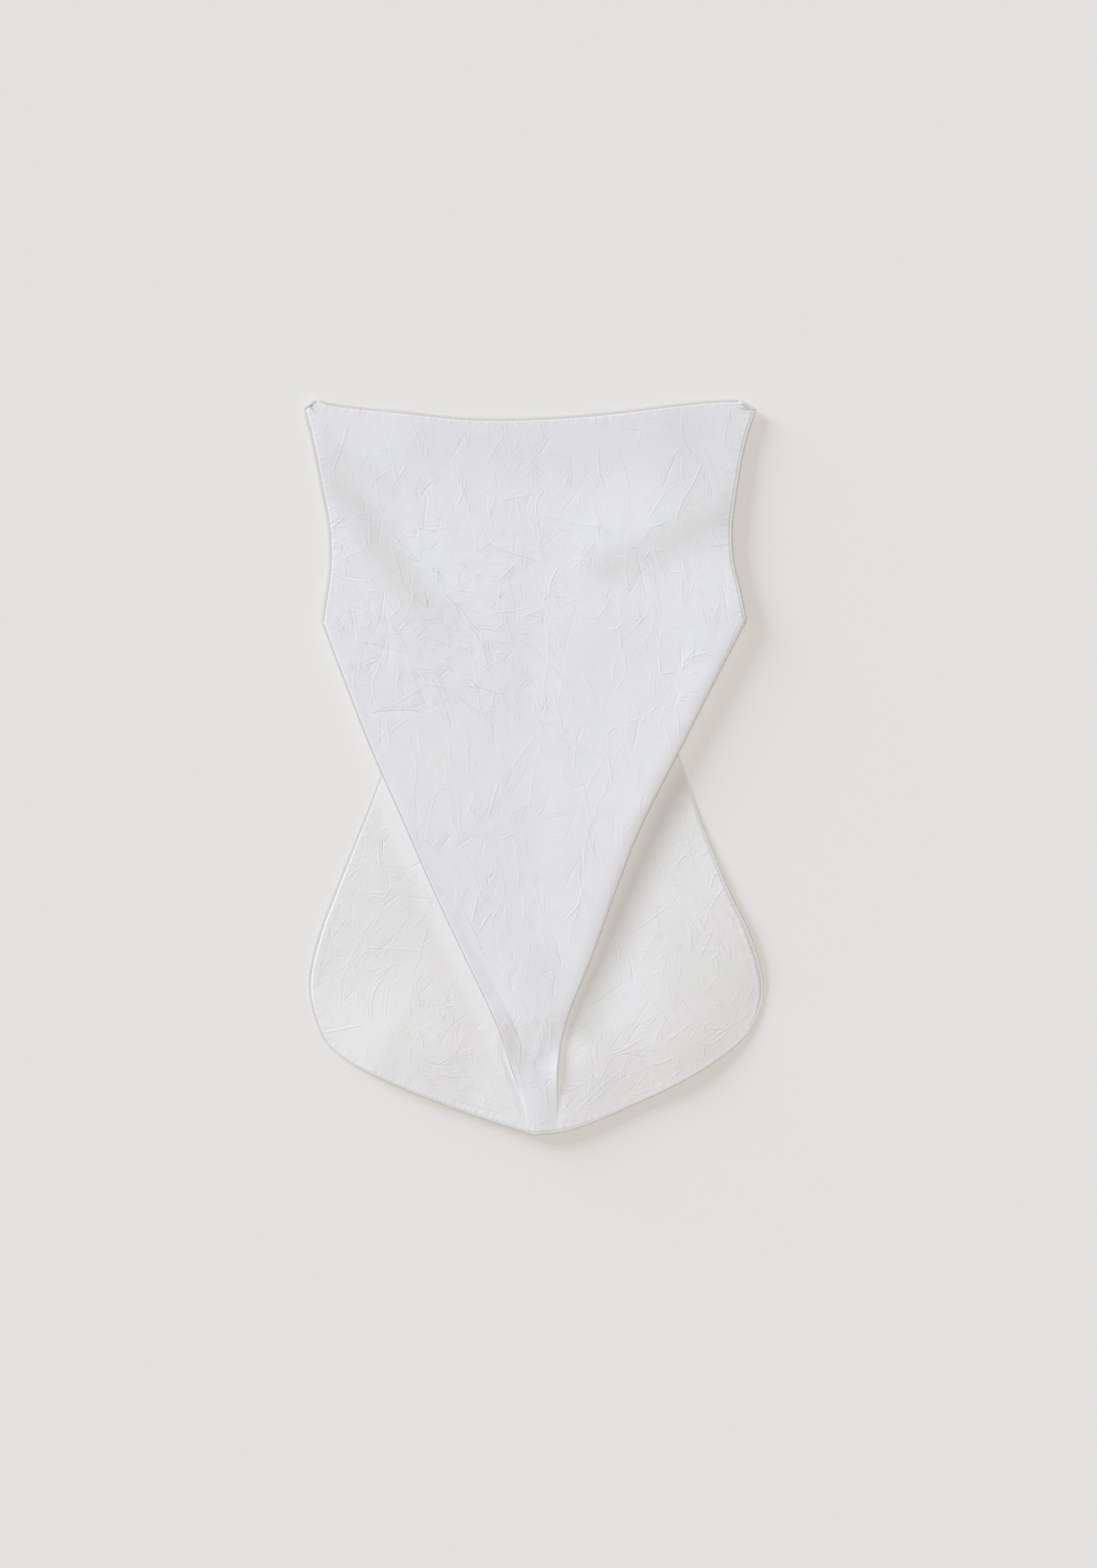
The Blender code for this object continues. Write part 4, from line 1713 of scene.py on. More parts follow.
@dataclass
class ShoulderSeam:
    """The short seam at one shoulder's slanting corner: a soft rolled edge from front to back wing."""

    cut: SideCut
    border: float = 0.7
    softness: float = 0.75
    cuts: int = 3
    segments: int = 4

    def build(self, material: Material) -> Object:
        """Makes the seam.

        Args:
            material: its finish.

        Returns:
            The piece.
        """
        edges = CutEdges(0.0)
        start, along, inward = edges.seam(self.cut)
        length = math.dist(self.cut.armhole[0], self.cut.neck_corner)
        low = REST_HEIGHT + 2 * self.cut.radii(edges.underarm)[1] - self.border
        high = SHOULDER_HEIGHT + self.border
        middle = start + along * length / 2 + inward * HEM_HALF_WIDTH
        place = to_metres(np.array([self.cut.sign * middle[0], middle[1], (low + high) / 2]))
        turn = math.atan2(along[1], self.cut.sign * along[0])
        bpy.ops.object.select_all(action="DESELECT")
        bpy.ops.mesh.primitive_cube_add(size=1.0, location=place, rotation=(0, 0, turn))
        piece = bpy.context.active_object
        piece.name = "shoulder_seam_turned_" + self.cut.side.name.lower()
        piece.scale = (length * MM, 2 * HEM_HALF_WIDTH * MM, (high - low) * MM)
        bpy.ops.object.transform_apply(location=True, rotation=True, scale=True)
        bpy.ops.object.mode_set(mode="EDIT")
        bpy.ops.mesh.select_all(action="SELECT")
        bpy.ops.mesh.subdivide(number_cuts=self.cuts)
        bpy.ops.object.mode_set(mode="OBJECT")
        edge = piece.modifiers.new("soft edge", "BEVEL")
        edge.width = self.softness * MM
        edge.segments = self.segments
        edge.limit_method = "ANGLE"
        bpy.ops.object.modifier_apply(modifier=edge.name)
        bpy.ops.object.shade_smooth()
        piece.data.materials.append(material)
        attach(piece, ROOT)
        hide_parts("shoulder_seam_" + self.cut.side.name.lower())
        return piece


def linear(hex_colour: str) -> tuple[float, float, float, float]:
    """Turns an sRGB hex value into linear red, green, blue and alpha."""
    parts = [int(hex_colour[place:place + 2], 16) / 255 for place in (1, 3, 5)]
    return (*((part / 12.92 if part <= 0.04045 else ((part + 0.055) / 1.055) ** 2.4) for part in parts), 1.0)


def add_node(tree: NodeTree, kind: str, settings: dict | None = None,
             links: dict | None = None) -> Node:
    """Adds a shader node with its settings and links.

    Args:
        tree: the material's tree.
        kind: the node's type, without the word that all of them start with.
        settings: values for its properties, and for its inputs by name or number.
        links: what feeds its inputs, by name or number: a socket, or a node for its first output.

    Returns:
        The node.
    """
    node = tree.nodes.new("ShaderNode" + kind)
    for key, value in (settings or {}).items():
        if isinstance(key, str) and hasattr(node, key):
            setattr(node, key, value)
        else:
            node.inputs[key].default_value = value
    for key, source in (links or {}).items():
        socket = source.outputs[0] if isinstance(source, Node) else source
        tree.links.new(socket, node.inputs[key])
    return node


def new_finish(name: str, roughness: float, reflection: float) -> tuple[Material, Node]:
    """Starts a material.

    Args:
        name: its name.
        roughness: its shader's roughness.
        reflection: its shader's level of reflection, of which 0.5 is usual.

    Returns:
        The material and its shader.
    """
    material = bpy.data.materials.new(name)
    material.use_nodes = True
    shader = material.node_tree.nodes["Principled BSDF"]
    shader.inputs["Roughness"].default_value = roughness
    shader.inputs["Specular IOR Level"].default_value = reflection
    return material, shader


@dataclass(frozen=True)
class CrinkledCotton:
    """Plain woven cotton, washed and crumpled, never ironed.

    The eye sees a matte white with thin paired light and dark crease lines, and broad soft tints.
    Cells, widths and heights are in mm. The patches hold cell and amount. A mask says at which value
    of its noise a pattern starts and at which it is full.
    """

    name: str = "crinkled_cotton"
    white: str = "#DFDFE2"
    warm_tint: str = "#DFDEDE"
    patches: Table = ((62.0, 0.028), (19.0, 0.014))
    # how the painted shade darkens red, green and blue, so that it looks warm
    painted_shade_tint: tuple[float, float, float] = (0.92, 1.0, 1.15)
    roughness: float = 0.88
    reflection: float = 0.25
    sheen: float = 0.12
    sheen_roughness: float = 0.4
    layers: int = 8
    line_half_width: float = 0.5
    long_cell: Pair = (10.0, 31.0)
    short_cell: Pair = (5.0, 12.0)
    long_height: float = 0.035
    short_height: float = 0.018
    short_seed: float = 5.0
    wander_cell: float = 17.0
    wander_reach: float = 9.0
    crinkle_steepness: float = 22.0
    crinkle_patch: float = 26.0
    crinkle_mask: Pair = (0.42, 0.66)
    facet_height: float = 0.06
    facet_cell: Pair = (8.0, 16.0)
    facet_softness: float = 0.35
    weave_spacing: float = 0.8
    weave_height: float = 0.003
    pucker_height: float = 0.6
    pucker_pitch: float = 4.5
    pucker_stretch: float = 0.09
    pucker_reach: Pair = (1.5, 11.0)

    def build(self) -> Material:
        """Makes the material.

        Returns:
            The material.
        """
        material, shader = new_finish(self.name, self.roughness, self.reflection)
        tree = material.node_tree
        shader.inputs["Sheen Weight"].default_value = self.sheen
        shader.inputs["Sheen Roughness"].default_value = self.sheen_roughness
        cut = add_node(tree, "UVMap", {"uv_map": "cut"})
        place = add_node(tree, "VectorMath", {"operation": "SCALE", "Scale": 1 / MM}, {0: cut}).outputs[0]
        tree.links.new(self.colour(tree, place), shader.inputs["Base Color"])
        height = self.creases(tree)
        for part in (self.crinkle(tree, place, self.long_cell, self.long_height, 0.0),
                     self.crinkle(tree, place, self.short_cell, self.short_height, self.short_seed),
                     self.facets(tree, place), self.weave(tree, place), self.puckers(tree)):
            height = add_node(tree, "Math", {"operation": "ADD"}, {0: height, 1: part})
        bump = add_node(tree, "Bump", {"Strength": 1.0, "Distance": MM}, {"Height": height})
        tree.links.new(bump.outputs[0], shader.inputs["Normal"])
        return material

    def colour(self, tree: NodeTree, place: NodeSocket) -> NodeSocket:
        """Tints the white in broad soft patches, warms the tails and multiplies in the painted shade, which
        lightens where it is negative as painted light.

        Args:
            tree: the material's tree.
            place: the place on the flat cut, in mm.

        Returns:
            The colour's socket.
        """
        tone = add_node(tree, "Attribute", {"attribute_name": "tone"})
        parts = add_node(tree, "SeparateXYZ", {}, {0: tone.outputs["Vector"]})
        mix = add_node(tree, "Mix", {"data_type": "RGBA", 6: linear(self.white), 7: linear(self.warm_tint)},
                       {"Factor": parts.outputs[1]})
        total = mix.outputs[2]
        for cell, amount in self.patches:
            patches = add_node(tree, "TexNoise", {"Scale": 1 / cell, "Detail": 1.0}, {"Vector": place})
            middle = add_node(tree, "VectorMath", {"operation": "SUBTRACT", 1: (0.5, 0.5, 0.5)},
                              {0: patches.outputs["Color"]})
            total = add_node(tree, "VectorMath", {"operation": "MULTIPLY_ADD", 1: (amount,) * 3},
                             {0: middle, 2: total})
        # painted shade and painted light from the tone attribute's first value
        shade = add_node(tree, "CombineXYZ", {}, {axis: parts for axis in range(3)})
        left = add_node(tree, "VectorMath",
                        {"operation": "MULTIPLY_ADD", 1: [-tint for tint in self.painted_shade_tint],
                         2: (1.0, 1.0, 1.0)}, {0: shade})
        return add_node(tree, "VectorMath", {"operation": "MULTIPLY"}, {0: total, 1: left}).outputs[0]

    @staticmethod
    def ridge(tree: NodeTree, away: Node, steepness: float) -> Node:
        """Turns a signed distance into a line that is 1 high at 0 and falls off on both sides.

        Args:
            tree: the material's tree.
            away: the node that gives the distance.
            steepness: how fast the line falls off.

        Returns:
            The line's node.
        """
        for operation, by in (("ABSOLUTE", 0.0), ("MULTIPLY", -steepness), ("EXPONENT", 0.0)):
            away = add_node(tree, "Math", {"operation": operation, 1: by}, {0: away})
        return away

    def creases(self, tree: NodeTree) -> Node:
        """Draws the sharp creases as thin ridges and valleys from the distances on the mesh.

        Args:
            tree: the material's tree.

        Returns:
            The node that gives their height.
        """
        total = None
        for index in range(self.layers):
            layer = add_node(tree, "Attribute", {"attribute_name": f"crease_{index}"})
            parts = add_node(tree, "SeparateXYZ", {}, {0: layer.outputs["Vector"]})
            ridge = self.ridge(tree, parts, 1.0 / self.line_half_width)
            line = add_node(tree, "Math", {"operation": "MULTIPLY"}, {0: ridge, 1: parts.outputs[1]})
            if total is None:
                total = line
            else:
                total = add_node(tree, "Math", {"operation": "ADD"}, {0: total, 1: line})
        return total

    def crinkle(self, tree: NodeTree, place: NodeSocket, cell: Pair,
                height: float, seed: float) -> Node:
        """Draws wandering crease lines along the middle value of a stretched noise, in patches.

        Args:
            tree: the material's tree.
            place: the place on the flat cut, in mm.
            cell: the noise's cell, across and along.
            height: the lines' height.
            seed: moves the noise to another part of itself.

        Returns:
            The node that gives their height.
        """
        wander = add_node(tree, "TexNoise", {"Scale": 1 / self.wander_cell, "Detail": 2.0}, {"Vector": place})
        bent = add_node(tree, "VectorMath",
                        {"operation": "MULTIPLY_ADD", 1: (self.wander_reach, self.wander_reach, 0.0)},
                        {0: wander.outputs["Color"], 2: place})
        scaled = add_node(tree, "Mapping", {"Scale": (1 / cell[0], 1 / cell[1], 1.0),
                                            "Location": (seed, seed, 0.0)}, {"Vector": bent})
        noise = add_node(tree, "TexNoise", {"Scale": 1.0, "Detail": 1.0}, {"Vector": scaled})
        away = add_node(tree, "Math", {"operation": "SUBTRACT", 1: 0.5}, {0: noise.outputs["Fac"]})
        ridge = self.ridge(tree, away, self.crinkle_steepness)
        where = add_node(tree, "TexNoise", {"Scale": 1 / self.crinkle_patch, "Detail": 1.0}, {"Vector": bent})
        start, full = self.crinkle_mask
        mask = add_node(tree, "MapRange",
                        {"interpolation_type": "SMOOTHSTEP", "From Min": start, "From Max": full,
                         "To Min": 0.0, "To Max": height}, {"Value": where.outputs["Fac"]})
        return add_node(tree, "Math", {"operation": "MULTIPLY"}, {0: ridge, 1: mask})

    def facets(self, tree: NodeTree, place: NodeSocket) -> Node:
        """Draws the small flat facets of crumpled cloth.

        Args:
            tree: the material's tree.
            place: the place on the flat cut, in mm.

        Returns:
            The node that gives their height.
        """
        scaled = add_node(tree, "Mapping", {"Scale": (1 / self.facet_cell[0], 1 / self.facet_cell[1], 1.0)},
                          {"Vector": place})
        cells = add_node(tree, "TexVoronoi", {"feature": "SMOOTH_F1", "Scale": 1.0,
                                              "Smoothness": self.facet_softness}, {"Vector": scaled})
        return add_node(tree, "Math", {"operation": "MULTIPLY", 1: self.facet_height},
                        {0: cells.outputs["Distance"]})

    def weave(self, tree: NodeTree, place: NodeSocket) -> Node:
        """Draws the threads, coarser than their real 0.3 mm so that they show close up."""
        threads = add_node(tree, "TexNoise", {"Scale": 1 / self.weave_spacing, "Detail": 0.0},
                           {"Vector": place})
        return add_node(tree, "Math", {"operation": "MULTIPLY", 1: self.weave_height},
                        {0: threads.outputs["Fac"]})

    def puckers(self, tree: NodeTree) -> Node:
        """Draws the small gathers that the hem's stitches pull into the cloth beside it.

        Args:
            tree: the material's tree.

        Returns:
            The node that gives their height.
        """
        hem = add_node(tree, "Attribute", {"attribute_name": "hem_place"}).outputs["Vector"]
        scaled = add_node(tree, "Mapping", {"Scale": (1 / self.pucker_pitch, self.pucker_stretch, 0.0)},
                          {"Vector": hem})
        folds = add_node(tree, "TexNoise", {"Scale": 1.0, "Detail": 1.0}, {"Vector": scaled})
        about = add_node(tree, "Math", {"operation": "SUBTRACT", 1: 0.5}, {0: folds.outputs["Fac"]})
        parts = add_node(tree, "SeparateXYZ", {}, {0: hem})
        near, far = self.pucker_reach
        beside = add_node(tree, "MapRange",
                          {"interpolation_type": "SMOOTHSTEP", "From Min": near, "From Max": far,
                           "To Min": self.pucker_height, "To Max": 0.0}, {"Value": parts.outputs[1]})
        return add_node(tree, "Math", {"operation": "MULTIPLY"}, {0: about, 1: beside})


@dataclass(frozen=True)
class HemCotton:
    """The same cotton rolled and overcast, its white painted greyer than the cloth's as painted shade
    that dims the light the hem catches. Its outer edge looks brownish from the raw cut and the thread,
    and from painted shade along the edge.

    The spots are soft noise with so many cells to a metre. Pairs say where a change starts and ends:
    of the spots by the noise's value, and of the rim by the share of the way out across the hem.
    """

    name: str = "hem_cotton"
    # painted shade: greyer than the cloth's white, to dim the light that the hem catches
    white: str = "#D3D2D4"
    # the raw cut and thread, with painted shade along the edge
    raw_and_shaded_edge: str = "#D0CABD"
    pale_edge: str = "#D9D5CC"
    roughness: float = 0.85
    reflection: float = 0.2
    spots_per_metre: float = 12.0
    spots: Pair = (0.4, 0.62)
    rim: Pair = (0.6, 0.85)
    grain: float = 0.9
    height: float = 0.03

    def build(self) -> Material:
        """Makes the material.

        Returns:
            The material.
        """
        material, shader = new_finish(self.name, self.roughness, self.reflection)
        tree = material.node_tree
        place = add_node(tree, "TexCoord").outputs["Object"]
        patches = add_node(tree, "TexNoise", {"Scale": self.spots_per_metre, "Detail": 1.0},
                           {"Vector": place})
        spots = add_node(tree, "MapRange", {"From Min": self.spots[0], "From Max": self.spots[1]},
                         {"Value": patches.outputs["Fac"]})
        edge = add_node(tree, "Mix", {"data_type": "RGBA", 6: linear(self.raw_and_shaded_edge),
                                      7: linear(self.pale_edge)}, {0: spots})
        run = add_node(tree, "UVMap", {"uv_map": "run"})
        across = add_node(tree, "SeparateXYZ", {}, {0: run}).outputs[1]
        rim = add_node(tree, "MapRange", {"From Min": self.rim[0], "From Max": self.rim[1]},
                       {"Value": across})
        whole = add_node(tree, "Mix", {"data_type": "RGBA", 6: linear(self.white)},
                         {0: rim, 7: edge.outputs[2]})
        tree.links.new(whole.outputs[2], shader.inputs["Base Color"])
        grain = add_node(tree, "TexNoise", {"Scale": 1 / (self.grain * MM), "Detail": 2.0}, {"Vector": place})
        height = add_node(tree, "Math", {"operation": "MULTIPLY", 1: self.height}, {0: grain.outputs["Fac"]})
        bump = add_node(tree, "Bump", {"Strength": 1.0, "Distance": MM}, {"Height": height})
        tree.links.new(bump.outputs[0], shader.inputs["Normal"])
        return material


@dataclass(frozen=True)
class SewingThread:
    """Twisted cotton thread, slightly creamier than the cloth. Its twist shows as fine slanting ribs."""

    name: str = "sewing_thread"
    cream: str = "#D9D6CE"
    roughness: float = 0.7
    reflection: float = 0.5
    twist: float = 0.35
    waves_to_metre: int = 3        # what the wave node draws at a scale of 1, about
    rib_height: float = 0.05
    rib_strength: float = 0.4

    def build(self) -> Material:
        """Makes the material.

        Returns:
            The material.
        """
        material, shader = new_finish(self.name, self.roughness, self.reflection)
        tree = material.node_tree
        shader.inputs["Base Color"].default_value = linear(self.cream)
        run = add_node(tree, "UVMap", {"uv_map": "run"})
        scale = 1 / (self.twist * MM * self.waves_to_metre)
        twist = add_node(tree, "TexWave", {"Scale": scale, "Distortion": 0.0}, {"Vector": run})
        bump = add_node(tree, "Bump", {"Strength": self.rib_strength, "Distance": self.rib_height * MM},
                        {"Height": twist.outputs["Fac"]})
        tree.links.new(bump.outputs[0], shader.inputs["Normal"])
        return material


@dataclass
class Studio:
    """A plain pale floor, one large low light, one broad light above and a camera straight above.

    The shares say how much of the light on the flat floor comes from each, for red, green and blue.
    The rest comes from above. Azimuth, elevation and spreads are in degrees, the lens and its sensor
    in mm, and all other lengths in metres.
    """

    floor_colour: str = "#E2E1DF"
    key_share: tuple[float, float, float] = (0.182, 0.214, 0.264)
    room_share: float = 0.16
    key_azimuth: float = 143.0
    key_elevation: float = 14.0
    key_spread: float = 25.0
    top_elevation: float = 90.0
    top_spread: float = 32.0
    frame_height: float = 1.419
    frame_centre: Pair = (0.0133, -0.015)
    floor_size: float = 14.0
    floor_level: float = -0.0002
    lens: float = 85.0
    sensor: float = 36.0

    def build(self) -> None:
        """Sets the stage."""
        self.floor()
        self.light("key", self.key_share, self.key_azimuth, self.key_elevation, self.key_spread)
        above = tuple(1 - share - self.room_share for share in self.key_share)
        self.light("above", above, 0.0, self.top_elevation, self.top_spread)
        self.room()
        self.camera()

    def floor(self) -> None:
        """Lays the floor."""
        bpy.ops.object.select_all(action="DESELECT")
        bpy.ops.mesh.primitive_plane_add(size=self.floor_size, location=(0, 0, self.floor_level))
        floor = bpy.context.active_object
        floor.name = "studio_floor"
        material, shader = new_finish("matte_paper", 1.0, 0.0)
        shader.inputs["Base Color"].default_value = linear(self.floor_colour)
        floor.data.materials.append(material)

    def light(self, name: str, shares: tuple[float, ...], azimuth: float, elevation: float,
              spread: float) -> None:
        """Lights the garment from far away with a large soft disc.

        Args:
            name: the light's name.
            shares: its share of the floor's light, for each colour.
            azimuth: where it stands, in degrees from the right.
            elevation: its height in degrees.
            spread: the disc's width in degrees.
        """
        data = bpy.data.lights.new(name, "SUN")
        turn, rise = math.radians(azimuth), math.radians(elevation)
        data.color = [share / max(shares) for share in shares]
        data.energy = math.pi * max(shares) / math.sin(rise)
        data.angle = math.radians(spread)
        lamp = bpy.data.objects.new(name, data)
        toward = Vector((math.cos(turn) * math.cos(rise), math.sin(turn) * math.cos(rise), math.sin(rise)))
        lamp.location = toward * 3
        lamp.rotation_euler = toward.to_track_quat("Z", "Y").to_euler()
        bpy.context.scene.collection.objects.link(lamp)

    def room(self) -> None:
        """Lets a little light in evenly from the room."""
        world = bpy.data.worlds.new("studio")
        world.use_nodes = True
        background = world.node_tree.nodes["Background"]
        background.inputs["Color"].default_value = (1.0, 1.0, 1.0, 1.0)
        background.inputs["Strength"].default_value = self.room_share
        bpy.context.scene.world = world
        bpy.context.scene.view_settings.view_transform = "Standard"

    def camera(self) -> None:
        """Places the camera straight above."""
        data = bpy.data.cameras.new("camera")
        data.lens = self.lens
        data.sensor_width = self.sensor
        camera = bpy.data.objects.new("camera", data)
        distance = self.frame_height * self.lens / self.sensor
        camera.location = (*self.frame_centre, distance)
        bpy.context.scene.collection.objects.link(camera)
        bpy.context.scene.camera = camera


TERRACES = (
    Terrace((-75, 440), (-196, 612), 2.0, 34.0),
    Terrace((40, 500), (176, 570), 1.2, 34.0),
)
# Painted shade for the dark streaks of the front's folds, its darker top and tip; the last, negative, is a
# painted highlight by the left side fold.
FRONT_PAINTED_SHADES = (
    PaintedShade(((-187, 600), (-153, 557), (-128, 520), (-88, 470)), 29, 0.070),
    PaintedShade(((-192, 640), (-178, 615), (-152, 602), (-132, 583)), 13, 0.030),
    PaintedShade(((-182, 584), (-170, 575), (-152, 563)), 12, 0.025),
    PaintedShade(((172, 557), (104, 520), (61, 513)), 26, 0.055),
    PaintedShade(((140, 625), (152, 560)), 55, 0.050),
    PaintedShade(((183, 655), (178, 600), (174, 556)), 20, 0.045),
    PaintedShade(((-150, 645), (0, 628), (150, 645)), 52, 0.020),
    PaintedShade(((6, 150), (2, 95), (6, 15)), 36, 0.055),
    PaintedShade(((150, 420), (112, 347), (80, 279), (58, 223), (38, 161)), 26, -0.028),
)
# Painted shade on the tails; the strongest, along the fold on the wearer's left, is a painted shadow that the
# front's fold casts on the tail.
TAIL_PAINTED_SHADES = (
    PaintedShade(((60, 55), (150, 72), (196, 118), (190, 190)), 48, 0.035),
    PaintedShade(((127, 185), (140, 155), (135, 130)), 30, 0.025),
    PaintedShade(((138, 325), (122, 297), (92, 223), (64, 149), (46, 100)), 26, 0.17),
    PaintedShade(((-150, 75), (-60, 45)), 40, 0.012),
)


